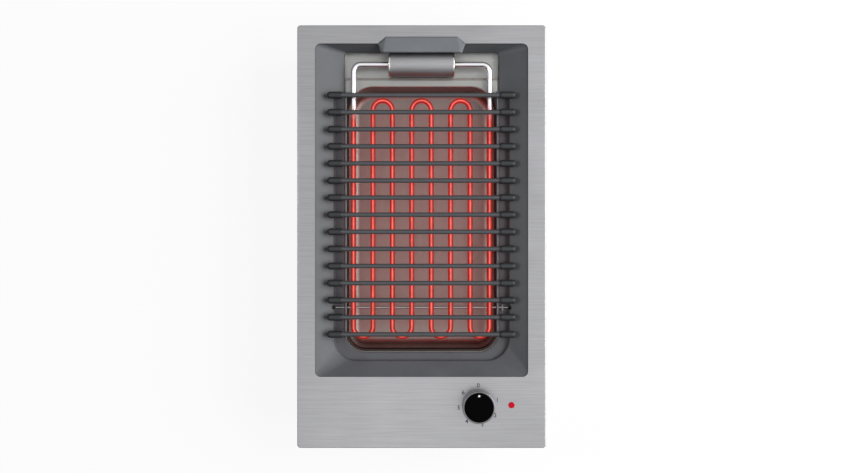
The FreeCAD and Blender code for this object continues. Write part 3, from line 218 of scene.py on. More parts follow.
def enamel(name, low, high, roughness):
    """Vitreous enamel fired on pressed steel: satin, with orange peel and the fine specks of its frit.

    The glass pools in the inner corners and draws back on the edges, so both look rounded. The real
    specks are a few tenths of a millimetre, and are drawn larger so that they show.
    """
    speck_mm = 0.9
    cloud_mm = 45
    peel_mm = 2.2
    speck_share = 0.55
    speck_range = (0.5, 1.05)
    rounding_mm = 3
    material, tree = new_material(name)
    place = add(tree, "ShaderNodeTexCoord").outputs["Object"]
    specks = add(
        tree,
        "ShaderNodeTexNoise",
        {"Scale": 1000 / speck_mm, "Detail": 2.0},
        {"Vector": place},
    )
    cloud = add(
        tree,
        "ShaderNodeTexNoise",
        {"Scale": 1000 / cloud_mm, "Detail": 3.0},
        {"Vector": place},
    )
    peel = add(tree, "ShaderNodeTexNoise", {"Scale": 1000 / peel_mm, "Detail": 1.0}, {"Vector": place})
    both = add(
        tree,
        "ShaderNodeMath",
        {"operation": "MULTIPLY_ADD", 1: speck_share},
        {0: specks.outputs[0], 2: cloud.outputs[0]},
    )
    tone = add(
        tree,
        "ShaderNodeMapRange",
        {"From Min": speck_range[0], "From Max": speck_range[1]},
        {"Value": both.outputs[0]},
    )
    mixed = add(
        tree,
        "ShaderNodeMix",
        {"data_type": "RGBA", FIRST: low, SECOND: high},
        {FACTOR: tone.outputs[0]},
    )
    pooled = add(tree, "ShaderNodeBevel", {"samples": 6, "Radius": rounding_mm / 1000})
    bump = add(
        tree,
        "ShaderNodeBump",
        {"Strength": 0.35, "Distance": PEEL_HEIGHT},
        {"Height": peel.outputs[0], "Normal": pooled.outputs[0]},
    )
    shader = add(
        tree,
        "ShaderNodeBsdfPrincipled",
        {"Roughness": roughness, "IOR": 1.52, "Specular IOR Level": 0.3},
        {"Base Color": mixed.outputs[MIXED], "Normal": bump.outputs[0]},
    )
    add(tree, "ShaderNodeOutputMaterial", None, {"Surface": shader.outputs["BSDF"]})
    return material


def cast_iron(name, low, high, roughness, grain_mm, depth_mm):
    """Cast or drawn iron under a thin dark enamel: pits of the casting still show through it.

    Real pits are about half a millimetre, and are drawn larger so that they show.
    """
    cloud_mm = 25
    spread = 0.08
    material, tree = new_material(name)
    place = add(tree, "ShaderNodeTexCoord").outputs["Object"]
    grain = add(
        tree,
        "ShaderNodeTexNoise",
        {"Scale": 1000 / grain_mm, "Detail": 4.0},
        {"Vector": place},
    )
    cloud = add(
        tree,
        "ShaderNodeTexNoise",
        {"Scale": 1000 / cloud_mm, "Detail": 2.0},
        {"Vector": place},
    )
    mixed = add(
        tree,
        "ShaderNodeMix",
        {"data_type": "RGBA", FIRST: low, SECOND: high},
        {FACTOR: cloud.outputs[0]},
    )
    gloss = add(
        tree,
        "ShaderNodeMapRange",
        {"To Min": roughness - spread, "To Max": roughness + spread},
        {"Value": grain.outputs[0]},
    )
    bump = add(
        tree,
        "ShaderNodeBump",
        {"Strength": 0.5, "Distance": depth_mm / 1000},
        {"Height": grain.outputs[0]},
    )
    shader = add(
        tree,
        "ShaderNodeBsdfPrincipled",
        {"IOR": 1.5},
        {"Base Color": mixed.outputs[MIXED], "Roughness": gloss.outputs[0], "Normal": bump.outputs[0]},
    )
    add(tree, "ShaderNodeOutputMaterial", None, {"Surface": shader.outputs["BSDF"]})
    return material


def galvanised(name, low, high):
    """Steel coated with zinc or aluminium: patches as large as real spangles, of differing tones."""
    spangle_mm = 9
    fine_mm = 1.5
    fine_share = 0.3
    material, tree = new_material(name)
    place = add(tree, "ShaderNodeTexCoord").outputs["Object"]
    spangle = add(
        tree, "ShaderNodeTexVoronoi", {"Scale": 1000 / spangle_mm, "Randomness": 1.0}, {"Vector": place}
    )
    fine = add(tree, "ShaderNodeTexNoise", {"Scale": 1000 / fine_mm, "Detail": 3.0}, {"Vector": place})
    cell = add(tree, "ShaderNodeSeparateColor", None, {"Color": spangle.outputs["Color"]})
    both = add(
        tree,
        "ShaderNodeMath",
        {"operation": "MULTIPLY_ADD", 1: fine_share},
        {0: fine.outputs[0], 2: cell.outputs[0]},
    )
    mixed = add(
        tree,
        "ShaderNodeMix",
        {"data_type": "RGBA", FIRST: low, SECOND: high},
        {FACTOR: both.outputs[0]},
    )
    gloss = add(
        tree,
        "ShaderNodeMapRange",
        {"To Min": SPANGLE_ROUGHNESS[0], "To Max": SPANGLE_ROUGHNESS[1]},
        {"Value": cell.outputs[1]},
    )
    bump = add(
        tree,
        "ShaderNodeBump",
        {"Strength": 0.25, "Distance": SPANGLE_HEIGHT},
        {"Height": fine.outputs[0]},
    )
    shader = add(
        tree,
        "ShaderNodeBsdfPrincipled",
        {"Metallic": 1.0},
        {"Base Color": mixed.outputs[MIXED], "Roughness": gloss.outputs[0], "Normal": bump.outputs[0]},
    )
    add(tree, "ShaderNodeOutputMaterial", None, {"Surface": shader.outputs["BSDF"]})
    return material


def moulded(name, low, high, roughness, grain_mm, depth_mm, level=0.5):
    """Moulded plastic, rubber or ceramic with the fine texture of its mould.

    Real mould grain is about a tenth of a millimetre, and is drawn coarser so that it shows.
    """
    cloud_mm = 18
    spread = 0.06
    material, tree = new_material(name)
    place = add(tree, "ShaderNodeTexCoord").outputs["Object"]
    grain = add(
        tree,
        "ShaderNodeTexNoise",
        {"Scale": 1000 / grain_mm, "Detail": 3.0},
        {"Vector": place},
    )
    cloud = add(
        tree,
        "ShaderNodeTexNoise",
        {"Scale": 1000 / cloud_mm, "Detail": 2.0},
        {"Vector": place},
    )
    mixed = add(
        tree,
        "ShaderNodeMix",
        {"data_type": "RGBA", FIRST: low, SECOND: high},
        {FACTOR: cloud.outputs[0]},
    )
    gloss = add(
        tree,
        "ShaderNodeMapRange",
        {"To Min": roughness - spread, "To Max": roughness + spread},
        {"Value": grain.outputs[0]},
    )
    bump = add(
        tree,
        "ShaderNodeBump",
        {"Strength": 0.4, "Distance": depth_mm / 1000},
        {"Height": grain.outputs[0]},
    )
    shader = add(
        tree,
        "ShaderNodeBsdfPrincipled",
        {"IOR": 1.5, "Specular IOR Level": level},
        {"Base Color": mixed.outputs[MIXED], "Roughness": gloss.outputs[0], "Normal": bump.outputs[0]},
    )
    add(tree, "ShaderNodeOutputMaterial", None, {"Surface": shader.outputs["BSDF"]})
    return material


def turned_metal(name, low, high, roughness, centre):
    """Metal turned on a lathe about an upright axis: fine rings round its middle.

    Real turning marks are about a tenth of a millimetre apart, and are drawn wider so that they show.
    """
    ring_mm = 0.8
    material, tree = new_material(name)
    place = add(tree, "ShaderNodeTexCoord").outputs["Object"]
    moved = add(
        tree,
        "ShaderNodeMapping",
        {"Location": (-centre[0], -centre[1], 0.0)},
        {"Vector": place},
    )
    flat = add(
        tree,
        "ShaderNodeVectorMath",
        {"operation": "MULTIPLY", 1: (1.0, 1.0, 0.0)},
        {0: moved.outputs[0]},
    )
    radius = add(tree, "ShaderNodeVectorMath", {"operation": "LENGTH"}, {0: flat.outputs[0]})
    rings = add(
        tree,
        "ShaderNodeTexNoise",
        {"noise_dimensions": "1D", "Scale": 1000 / ring_mm, "Detail": 3.0},
        {"W": radius.outputs["Value"]},
    )
    mixed = add(
        tree,
        "ShaderNodeMix",
        {"data_type": "RGBA", FIRST: low, SECOND: high},
        {FACTOR: rings.outputs[0]},
    )
    bump = add(
        tree, "ShaderNodeBump", {"Strength": 0.4, "Distance": RING_HEIGHT}, {"Height": rings.outputs[0]}
    )
    shader = add(
        tree,
        "ShaderNodeBsdfPrincipled",
        {"Metallic": 1.0, "Roughness": roughness},
        {"Base Color": mixed.outputs[MIXED], "Normal": bump.outputs[0]},
    )
    add(tree, "ShaderNodeOutputMaterial", None, {"Surface": shader.outputs["BSDF"]})
    return material


def hot_tube(name, finish):
    """Nickel alloy tube of the element: bright at its cold ends, red hot and oxidised along its legs,
    with a painted highlight along its top.
    """
    oxide_mm = 7
    fine_mm = 0.8
    material, tree = new_material(name)
    coordinates = add(tree, "ShaderNodeTexCoord")
    place = coordinates.outputs["Object"]
    axes = add(tree, "ShaderNodeSeparateXYZ", None, {"Vector": place})
    facing = add(tree, "ShaderNodeSeparateXYZ", None, {"Vector": coordinates.outputs["Normal"]})
    side = add(tree, "ShaderNodeMath", {"operation": "ABSOLUTE"}, {0: axes.outputs["X"]})
    is_outer = add(
        tree, "ShaderNodeMath", {"operation": "GREATER_THAN", 1: OUTER_LEG_X}, {0: side.outputs[0]}
    )
    past = add(
        tree,
        "ShaderNodeMapRange",
        {"interpolation_type": "SMOOTHSTEP", "From Min": COLD_LEG_Y[0], "From Max": COLD_LEG_Y[1]},
        {"Value": axes.outputs["Y"]},
    )
    near_pivot = add(
        tree, "ShaderNodeMath", {"operation": "GREATER_THAN", 1: PIVOT_Y}, {0: axes.outputs["Y"]}
    )
    outer_cold = add(
        tree, "ShaderNodeMath", {"operation": "MULTIPLY"}, {0: is_outer.outputs[0], 1: past.outputs[0]}
    )
    cold = add(
        tree,
        "ShaderNodeMath",
        {"operation": "MAXIMUM"},
        {0: outer_cold.outputs[0], 1: near_pivot.outputs[0]},
    )
    # oxide lies on the alloy in patches, over a fine grain that is drawn coarser than it is
    scale = add(
        tree,
        "ShaderNodeTexNoise",
        {"Scale": 1000 / oxide_mm, "Detail": 4.0},
        {"Vector": place},
    )
    fine = add(tree, "ShaderNodeTexNoise", {"Scale": 1000 / fine_mm, "Detail": 3.0}, {"Vector": place})
    oxide = add(
        tree,
        "ShaderNodeMix",
        {"data_type": "RGBA", FIRST: linear("#241210"), SECOND: linear("#34190f")},
        {FACTOR: scale.outputs[0]},
    )
    base = add(
        tree,
        "ShaderNodeMix",
        {"data_type": "RGBA", SECOND: linear("#e0e0e4")},
        {FACTOR: cold.outputs[0], FIRST: oxide.outputs[MIXED]},
    )
    along = add(
        tree,
        "ShaderNodeMapRange",
        {"From Min": GLOW_LENGTH_Y[0], "From Max": GLOW_LENGTH_Y[1]},
        {"Value": axes.outputs["Y"]},
    )
    edge = add(
        tree,
        "ShaderNodeMix",
        {"data_type": "RGBA", FIRST: finish.glow_front, SECOND: finish.glow_back},
        {FACTOR: along.outputs[0]},
    )
    # painted highlight: the tube's shoulders and top glow brighter than its sides
    painted_highlight_edge_place = add(
        tree,
        "ShaderNodeMapRange",
        {
            "interpolation_type": "SMOOTHSTEP",
            "From Min": PAINTED_HIGHLIGHT_EDGE_FACING[0],
            "From Max": PAINTED_HIGHLIGHT_EDGE_FACING[1],
        },
        {"Value": facing.outputs["Z"]},
    )
    painted_highlight_edge = add(
        tree,
        "ShaderNodeMix",
        {"data_type": "RGBA", SECOND: finish.glow_shoulder},
        {FACTOR: painted_highlight_edge_place.outputs[0], FIRST: edge.outputs[MIXED]},
    )
    painted_highlight_place = add(
        tree,
        "ShaderNodeMapRange",
        {"interpolation_type": "SMOOTHSTEP", "From Min": PAINTED_HIGHLIGHT_FACING[0], "From Max": PAINTED_HIGHLIGHT_FACING[1]},
        {"Value": facing.outputs["Z"]},
    )
    painted_highlight = add(
        tree,
        "ShaderNodeMix",
        {"data_type": "RGBA", SECOND: finish.glow_core},
        {FACTOR: painted_highlight_place.outputs[0], FIRST: painted_highlight_edge.outputs[MIXED]},
    )
    under_place = add(
        tree,
        "ShaderNodeMapRange",
        {"From Min": UNDER_FACING[0], "From Max": UNDER_FACING[1]},
        {"Value": facing.outputs["Z"]},
    )
    under = add(
        tree,
        "ShaderNodeMix",
        {"data_type": "RGBA", SECOND: finish.glow_under},
        {FACTOR: under_place.outputs[0], FIRST: painted_highlight.outputs[MIXED]},
    )
    patchy = add(
        tree,
        "ShaderNodeMapRange",
        {
            "From Min": OXIDE_NOISE[0],
            "From Max": OXIDE_NOISE[1],
            "To Min": OXIDE_GLOW[0],
            "To Max": OXIDE_GLOW[1],
        },
        {"Value": scale.outputs[0]},
    )
    heat = add(
        tree,
        "ShaderNodeMath",
        {"operation": "MULTIPLY_ADD", 1: -1.0, 2: 1.0},
        {0: cold.outputs[0]},
    )
    level = add(
        tree, "ShaderNodeMath", {"operation": "MULTIPLY"}, {0: heat.outputs[0], 1: patchy.outputs[0]}
    )
    glow = add(
        tree,
        "ShaderNodeVectorMath",
        {"operation": "SCALE"},
        {0: under.outputs[MIXED], "Scale": level.outputs[0]},
    )
    bump = add(
        tree, "ShaderNodeBump", {"Strength": 0.3, "Distance": OXIDE_HEIGHT}, {"Height": fine.outputs[0]}
    )
    shader = add(
        tree,
        "ShaderNodeBsdfPrincipled",
        {"Roughness": 0.3, "Specular IOR Level": 0.12, "Emission Strength": finish.glow},
        {
            "Metallic": cold.outputs[0],
            "Base Color": base.outputs[MIXED],
            "Emission Color": glow.outputs[0],
            "Normal": bump.outputs[0],
        },
    )
    add(tree, "ShaderNodeOutputMaterial", None, {"Surface": shader.outputs["BSDF"]})
    return material


def fibre_mat(name):
    """Pressed mineral fibre: matted threads.

    A single real fibre wouldn't show, so the threads are drawn as thick as bundles.
    """
    bundle = (3.0, 0.6, 1.2)
    material, tree = new_material(name)
    place = add(tree, "ShaderNodeTexCoord").outputs["Object"]
    flat = add(tree, "ShaderNodeMapping", {"Scale": per_mm(*bundle)}, {"Vector": place})
    threads = add(
        tree,
        "ShaderNodeTexNoise",
        {"Scale": 1.0, "Detail": 5.0, "Distortion": 1.5},
        {"Vector": flat.outputs[0]},
    )
    mixed = add(
        tree,
        "ShaderNodeMix",
        {"data_type": "RGBA", FIRST: linear("#b9b1a0"), SECOND: linear("#e6e0d2")},
        {FACTOR: threads.outputs[0]},
    )
    bump = add(
        tree,
        "ShaderNodeBump",
        {"Strength": 0.8, "Distance": THREAD_HEIGHT},
        {"Height": threads.outputs[0]},
    )
    shader = add(
        tree,
        "ShaderNodeBsdfPrincipled",
        {"Roughness": 0.95, "Sheen Weight": 0.3},
        {"Base Color": mixed.outputs[MIXED], "Normal": bump.outputs[0]},
    )
    add(tree, "ShaderNodeOutputMaterial", None, {"Surface": shader.outputs["BSDF"]})
    return material


def drawn_pan(name, low, high, flange, rim_painted_shade):
    """Deep-drawn stainless with its draw lines, a paler rear flange, and painted shade along the rest of
    its rim.

    Real draw lines are under a millimetre wide, and are drawn wider so that they show.
    """
    line = (6.0, 40.0, 6.0)
    stain_mm = 22
    material, tree = new_material(name)
    place = add(tree, "ShaderNodeTexCoord").outputs["Object"]
    axes = add(tree, "ShaderNodeSeparateXYZ", None, {"Vector": place})
    stretched = add(tree, "ShaderNodeMapping", {"Scale": per_mm(*line)}, {"Vector": place})
    lines = add(
        tree,
        "ShaderNodeTexNoise",
        {"Scale": 1.0, "Detail": 4.0, "Roughness": 0.6},
        {"Vector": stretched.outputs[0]},
    )
    stain = add(
        tree,
        "ShaderNodeTexNoise",
        {"Scale": 1000 / stain_mm, "Detail": 3.0},
        {"Vector": place},
    )
    ramps = {
        "rim": (axes.outputs["Z"], *PAN_RIM_Z),
        "back": (axes.outputs["Y"], *PAN_FLANGE_Y),
    }
    shares = {
        key: add(
            tree,
            "ShaderNodeMapRange",
            {"interpolation_type": "SMOOTHSTEP", "From Min": low_end, "From Max": high_end},
            {"Value": socket},
        ).outputs[0]
        for key, (socket, low_end, high_end) in ramps.items()
    }
    kept = add(
        tree,
        "ShaderNodeMath",
        {"operation": "SUBTRACT", 0: 1.0, "use_clamp": True},
        {1: shares["back"]},
    )
    # share of painted shade along the rim, left off the rear flange
    rim_shade_share = add(
        tree,
        "ShaderNodeMath",
        {"operation": "MULTIPLY"},
        {0: shares["rim"], 1: kept.outputs[0]},
    )
    metal = add(
        tree,
        "ShaderNodeMix",
        {"data_type": "RGBA", FIRST: low, SECOND: high},
        {FACTOR: lines.outputs[0]},
    )
    with_flange = add(
        tree,
        "ShaderNodeMix",
        {"data_type": "RGBA", SECOND: flange},
        {FACTOR: shares["back"], FIRST: metal.outputs[MIXED]},
    )
    mixed = add(
        tree,
        "ShaderNodeMix",
        {"data_type": "RGBA", SECOND: rim_painted_shade},
        {FACTOR: rim_shade_share.outputs[0], FIRST: with_flange.outputs[MIXED]},
    )
    gloss = add(
        tree,
        "ShaderNodeMapRange",
        {
            "From Min": NOISE_LOW,
            "From Max": NOISE_HIGH,
            "To Min": PAN_ROUGHNESS[0],
            "To Max": PAN_ROUGHNESS[1],
        },
        {"Value": stain.outputs[0]},
    )
    bump = add(
        tree,
        "ShaderNodeBump",
        {"Strength": 0.5, "Distance": DRAW_LINE_HEIGHT},
        {"Height": lines.outputs[0]},
    )
    shader = add(
        tree,
        "ShaderNodeBsdfPrincipled",
        {"Metallic": 1.0},
        {"Base Color": mixed.outputs[MIXED], "Roughness": gloss.outputs[0], "Normal": bump.outputs[0]},
    )
    add(tree, "ShaderNodeOutputMaterial", None, {"Surface": shader.outputs["BSDF"]})
    return material


def dress(names, material):
    """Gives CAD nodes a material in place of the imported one."""
    for name in names:
        for slot in NODES[name].material_slots:
            slot.material = material


class GrillFinish(bpy.types.PropertyGroup):
    """Colours and light levels of the grill."""

    plate_low: bpy.props.FloatVectorProperty(
        name="Plate, dark lines",
        description="Colour of the darker brushed lines in the top plate",
        subtype="COLOR",
        size=4,
        min=0.0,
        max=1.0,
        default=linear("#949497"),
    )
    plate_high: bpy.props.FloatVectorProperty(
        name="Plate, bright lines",
        description="Colour of the brighter brushed lines in the top plate",
        subtype="COLOR",
        size=4,
        min=0.0,
        max=1.0,
        default=linear("#a3a3a6"),
    )
    enamel_low: bpy.props.FloatVectorProperty(
        name="Enamel, dark",
        description="Darker tone of the grey enamel round the opening",
        subtype="COLOR",
        size=4,
        min=0.0,
        max=1.0,
        default=linear("#4c4d51"),
    )
    enamel_high: bpy.props.FloatVectorProperty(
        name="Enamel, light",
        description="Lighter tone of the grey enamel round the opening",
        subtype="COLOR",
        size=4,
        min=0.0,
        max=1.0,
        default=linear("#585a5e"),
    )
    bar_colour: bpy.props.FloatVectorProperty(
        name="Grid bars",
        description="Colour of the enamel on the bars",
        subtype="COLOR",
        size=4,
        min=0.0,
        max=1.0,
        default=linear("#3d3f42"),
    )
    # the glow's colours are levels of light and not hex codes, because some are above 1
    glow_front: bpy.props.FloatVectorProperty(
        name="Glow at the front",
        description="Colour of the hot tube's sides near the front loops",
        subtype="COLOR",
        size=4,
        min=0.0,
        soft_max=3.0,
        default=(0.27, 0.010, 0.004, 1.0),
    )
    glow_back: bpy.props.FloatVectorProperty(
        name="Glow at the back",
        description="Colour of the hot tube's sides near the back loops",
        subtype="COLOR",
        size=4,
        min=0.0,
        soft_max=3.0,
        default=(0.34, 0.010, 0.012, 1.0),
    )
    # the next two glows are a painted highlight, brighter beside and along the top of the tube
    glow_shoulder: bpy.props.FloatVectorProperty(
        name="Glow beside the top",
        description="Colour of the hot tube between its sides and its top",
        subtype="COLOR",
        size=4,
        min=0.0,
        soft_max=3.0,
        default=(0.66, 0.036, 0.03, 1.0),
    )
    glow_core: bpy.props.FloatVectorProperty(
        name="Glow on top",
        description="Colour of the hot tube along its top",
        subtype="COLOR",
        size=4,
        min=0.0,
        soft_max=3.0,
        default=(1.0, 0.24, 0.19, 1.0),
    )
    glow_under: bpy.props.FloatVectorProperty(
        name="Glow below",
        description="Colour of the hot tube's underside, which lights the pan",
        subtype="COLOR",
        size=4,
        min=0.0,
        soft_max=6.0,
        default=(1.7, 0.02, 0.01, 1.0),
    )
    glow: bpy.props.FloatProperty(
        name="Glow",
        description="Strength of the element's light, 0 for a cold grill",
        min=0.0,
        soft_max=4.0,
        default=1.0,
    )


class GrillSizes(bpy.types.PropertyGroup):
    """Sizes of the fine pieces that the solids leave out."""

    numeral_size: bpy.props.FloatProperty(
        name="Numeral size",
        description="Type size of the numbers printed round the knob",
        subtype="DISTANCE",
        unit="LENGTH",
        default=0.00714,
    )
    numeral_circle: bpy.props.FloatProperty(
        name="Numeral circle",
        description="Radius of the circle that the numbers stand on",
        subtype="DISTANCE",
        unit="LENGTH",
        default=0.0238,
    )
    print_thickness: bpy.props.FloatProperty(
        name="Print thickness",
        description="Thickness of the printed ink",
        subtype="DISTANCE",
        unit="LENGTH",
        default=0.00005,
    )


class GRILL_OT_stage(bpy.types.Operator):
    """Camera, lights, world and floor"""

    bl_idname = "grill.stage"
    bl_label = "Camera, lights and floor"

    def execute(self, context):
        scene = context.scene
        scene.view_settings.view_transform = "Standard"

        camera_data = bpy.data.cameras.new("photo_camera")
        camera_data.sensor_width = SENSOR
        width = PHOTO_WIDTH * MM_PER_PIXEL / 1000
        camera_data.lens = SENSOR * (CAMERA_HEIGHT - PLATE_TOP) / width
        camera = bpy.data.objects.new("photo_camera", camera_data)
        x, y = (pixels * MM_PER_PIXEL / 1000 for pixels in PHOTO_OFFSET)
        camera.location = (x, y, CAMERA_HEIGHT)
        scene.collection.objects.link(camera)
        scene.camera = camera

        world = bpy.data.worlds.new("white_studio")
        world.use_nodes = True
        tree = world.node_tree
        tree.nodes.clear()
        path = add(tree, "ShaderNodeLightPath")
        seen = add(
            tree,
            "ShaderNodeMath",
            {"operation": "MAXIMUM"},
            {0: path.outputs["Is Camera Ray"], 1: path.outputs["Is Glossy Ray"]},
        )
        shown = add(
            tree,
            "ShaderNodeMath",
            {"operation": "MAXIMUM"},
            {0: seen.outputs[0], 1: path.outputs["Is Transmission Ray"]},
        )
        towards = add(tree, "ShaderNodeTexCoord").outputs["Generated"]
        height = add(tree, "ShaderNodeSeparateXYZ", None, {"Vector": towards})
        # metal sees a bright ceiling over darker studio walls
        ceiling = add(
            tree,
            "ShaderNodeMapRange",
            {
                "interpolation_type": "SMOOTHSTEP",
                "From Min": CEILING_HEIGHT[0],
                "From Max": CEILING_HEIGHT[1],
                "To Min": WALL_LEVEL,
            },
            {"Value": height.outputs["Z"]},
        )
        plain = add(tree, "ShaderNodeMapRange", {"To Min": DAYLIGHT}, {"Value": shown.outputs[0]})
        level = add(
            tree,
            "ShaderNodeMix",
            {"data_type": "FLOAT"},
            {0: path.outputs["Is Glossy Ray"], 2: plain.outputs[0], 3: ceiling.outputs[0]},
        )
        background = add(
            tree, "ShaderNodeBackground", {"Color": linear("#ffffff")}, {"Strength": level.outputs[0]}
        )
        add(tree, "ShaderNodeOutputWorld", None, {"Surface": background.outputs[0]})
        scene.world = world

        # where each lamp stands, the side of its square and its power
        lamps = {
            "soft_box_right": ((1.6, 0.16, 1.25), 2.0, 60.0),
            "soft_box_front": ((-0.08, -0.5, 1.5), 0.4, 0.45),
            "strip_box_left": ((-1.0, 0.1, 1.3), 0.25, 3.0),
        }
        for name, (spot, side, power) in lamps.items():
            data = bpy.data.lights.new(name, "AREA")
            data.shape = "SQUARE"
            data.size = side
            data.energy = power
            lamp = bpy.data.objects.new(name, data)
            lamp.location = spot
            lamp.rotation_mode = "QUATERNION"
            lamp.rotation_quaternion = (-Vector(spot)).to_track_quat("-Z", "Y")
            scene.collection.objects.link(lamp)

        floor_mesh = bmesh.new()
        bmesh.ops.create_circle(floor_mesh, cap_ends=True, segments=FLOOR_SIDES, radius=FLOOR_RADIUS)
        mesh = bpy.data.meshes.new("floor")
        floor_mesh.to_mesh(mesh)
        floor_mesh.free()
        floor = bpy.data.objects.new("floor", mesh)
        floor.location.z = CAD_BOX[0].z - FLOOR_GAP
        scene.collection.objects.link(floor)
        # matt white paint: a plain white floor with a faint shadow of the grill on it
        material, tree = new_material("matt_white_paint")
        path = add(tree, "ShaderNodeLightPath")
        paint = add(tree, "ShaderNodeBsdfDiffuse", {"Color": FLOOR_PAINT})
        white = add(tree, "ShaderNodeEmission", {"Color": linear("#ffffff"), "Strength": 1.0})
        share = add(
            tree,
            "ShaderNodeMath",
            {"operation": "MULTIPLY", 1: FLOOR_WHITE},
            {0: path.outputs["Is Camera Ray"]},
        )
        both = add(
            tree,
            "ShaderNodeMixShader",
            None,
            {0: share.outputs[0], 1: paint.outputs[0], 2: white.outputs[0]},
        )
        add(tree, "ShaderNodeOutputMaterial", None, {"Surface": both.outputs[0]})
        mesh.materials.append(material)
        return {"FINISHED"}


class GRILL_OT_plate(bpy.types.Operator):
    """Brushed top plate, foam seal and the printed numbers round the knob"""

    bl_idname = "grill.plate"
    bl_label = "Top plate and printed dial"

    def execute(self, context):
        finish = context.scene.grill_finish
        sizes = context.scene.grill_sizes
        # belt-brushed 304 stainless: fine lines across the width, drawn 0.9 mm wide so that they show
        plate = rolled_steel(
            "brushed_stainless_plate",
            finish.plate_low,
            finish.plate_high,
            roughness=0.32,
            streak=(60.0, 0.9, 0.9),
            depth_mm=0.002,
        )
        dress(["top_plate"], plate)
        # closed-cell foam: matt black with a coarse skin
        foam = moulded(
            "closed_cell_foam",
            linear("#1b1b1c"),
            linear("#2a2a2c"),
            roughness=0.85,
            grain_mm=1.2,
            depth_mm=0.2,
        )
        dress(["worktop_gasket"], foam)

        # screen-print ink: thin, matt and nearly black
        ink = moulded(
            "screen_print_ink",
            linear("#1c1d1f"),
            linear("#252628"),
            roughness=0.6,
            grain_mm=0.6,
            depth_mm=0.002,
        )
        for number, degrees in enumerate(DIAL_ANGLES):
            text = bpy.data.curves.new(f"dial_number_{number}", "FONT")
            text.body = str(number)
            text.size = sizes.numeral_size
            text.offset = INK_SPREAD
            text.align_x = "CENTER"
            text.align_y = "CENTER"
            text.extrude = sizes.print_thickness / 2
            holder = bpy.data.objects.new(f"dial_number_curve_{number}", text)
            context.scene.collection.objects.link(holder)
            context.view_layer.update()
            mesh = bpy.data.meshes.new_from_object(holder)
            bpy.data.objects.remove(holder)
            mesh.materials.clear()
            mesh.materials.append(ink)
            printed = bpy.data.objects.new(f"dial_number_{number}", mesh)
            turn = math.radians(degrees)
            printed.location = (
                KNOB_CENTRE[0] + sizes.numeral_circle * math.sin(turn),
                KNOB_CENTRE[1] + sizes.numeral_circle * math.cos(turn),
                PLATE_TOP + sizes.print_thickness / 2,
            )
            context.scene.collection.objects.link(printed)
            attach(printed, "hob")
        return {"FINISHED"}


class GRILL_OT_surround(bpy.types.Operator):
    """Grey enamel round the opening and on the hinge cover"""

    bl_idname = "grill.surround"
    bl_label = "Enamelled surround"

    def execute(self, context):
        finish = context.scene.grill_finish
        # vitreous enamel on pressed steel: a soft satin grey that looks rounded at its edges
        grey = enamel("grey_vitreous_enamel", finish.enamel_low, finish.enamel_high, roughness=0.42)
        dress(["surround"], grey)
        # a lighter copy of the same enamel: painted light over the hinge cover
        cover = enamel(
            "grey_enamel_painted_lighter", linear("#6d7074"), linear("#797c80"), roughness=0.4
        )
        dress(["hinge_cover"], cover)
        return {"FINISHED"}


class GRILL_OT_hinge(bpy.types.Operator):
    """Satin barrel and saddle, with the shelf, the end caps and the bushes"""

    bl_idname = "grill.hinge"
    bl_label = "Hinge"

    def execute(self, context):
        # satin stainless: a broad soft highlight along the barrel
        satin = rolled_steel(
            "satin_stainless_barrel",
            linear("#8e8e90"),
            linear("#9a9a9c"),
            roughness=0.5,
            streak=(30.0, 1.0, 1.0),
            depth_mm=0.001,
        )
        dress(["hinge_barrel", "hinge_saddle"], satin)
        # mill-finish stainless: pale, with faint rolling lines
        shelf = rolled_steel(
            "mill_finish_stainless",
            linear("#959593"),
            linear("#9f9f9d"),
            roughness=0.36,
            streak=(45.0, 2.5, 2.5),
            depth_mm=0.001,
        )
        dress(["hinge_shelf"], shelf)
        # polished stainless: small sharp highlights on the end caps
        caps = rolled_steel(
            "polished_stainless_cap",
            linear("#c8c8c6"),
            linear("#d6d6d4"),
            roughness=0.18,
            streak=(3.0, 3.0, 3.0),
            depth_mm=0.001,
        )
        dress(["barrel_cap_left", "barrel_cap_right"], caps)
        # sintered bronze: warm and slightly grainy
        bronze = rolled_steel(
            "sintered_bronze",
            linear("#8c6a3c"),
            linear("#a98450"),
            roughness=0.42,
            streak=(1.2, 1.2, 1.2),
            depth_mm=0.01,
        )
        dress(["hinge_bush_left", "hinge_bush_right"], bronze)
        return {"FINISHED"}


class GRILL_OT_element(bpy.types.Operator):
    """Glowing tube, its terminals, the rod under it with clips and stop, and the pan's seat"""

    bl_idname = "grill.element"
    bl_label = "Heating element"

    def execute(self, context):
        finish = context.scene.grill_finish
        # drawn nickel alloy tube: silver by the hinge, glowing red along its legs
        dress(["heating_element"], hot_tube("nickel_alloy_tube", finish))
        # drawn stainless wire: a thin pale line
        wire = rolled_steel(
            "drawn_stainless_wire",
            linear("#a4a5a8"),
            linear("#b8b9bb"),
            roughness=0.3,
            streak=(25.0, 0.8, 0.8),
            depth_mm=0.001,
        )
        dress(["support_rod"], wire)
        # mild steel tinted by heat: a dull brown-grey, so that these pieces stay behind the rod
        tinted = rolled_steel(
            "heat_tinted_steel",
            linear("#6f6b68"),
            linear("#85807b"),
            roughness=0.4,
            streak=(5.0, 1.5, 1.5),
            depth_mm=0.004,
        )
        dress(["rod_clips", "rod_stop", "pan_seat"], tinted)
        # zinc-plated steel pins: bright and slightly blue
        zinc = rolled_steel(
            "zinc_plated_pin",
            linear("#a9abae"),
            linear("#bcbec0"),
            roughness=0.35,
            streak=(3.0, 3.0, 3.0),
            depth_mm=0.003,
        )
        dress(["terminal_pins"], zinc)
        # fired steatite: a pale dry ceramic
        steatite = moulded(
            "steatite_ceramic",
            linear("#d8d3c6"),
            linear("#e8e4da"),
            roughness=0.5,
            grain_mm=0.8,
            depth_mm=0.03,
        )
        dress(["terminal_insulators"], steatite)
        return {"FINISHED"}


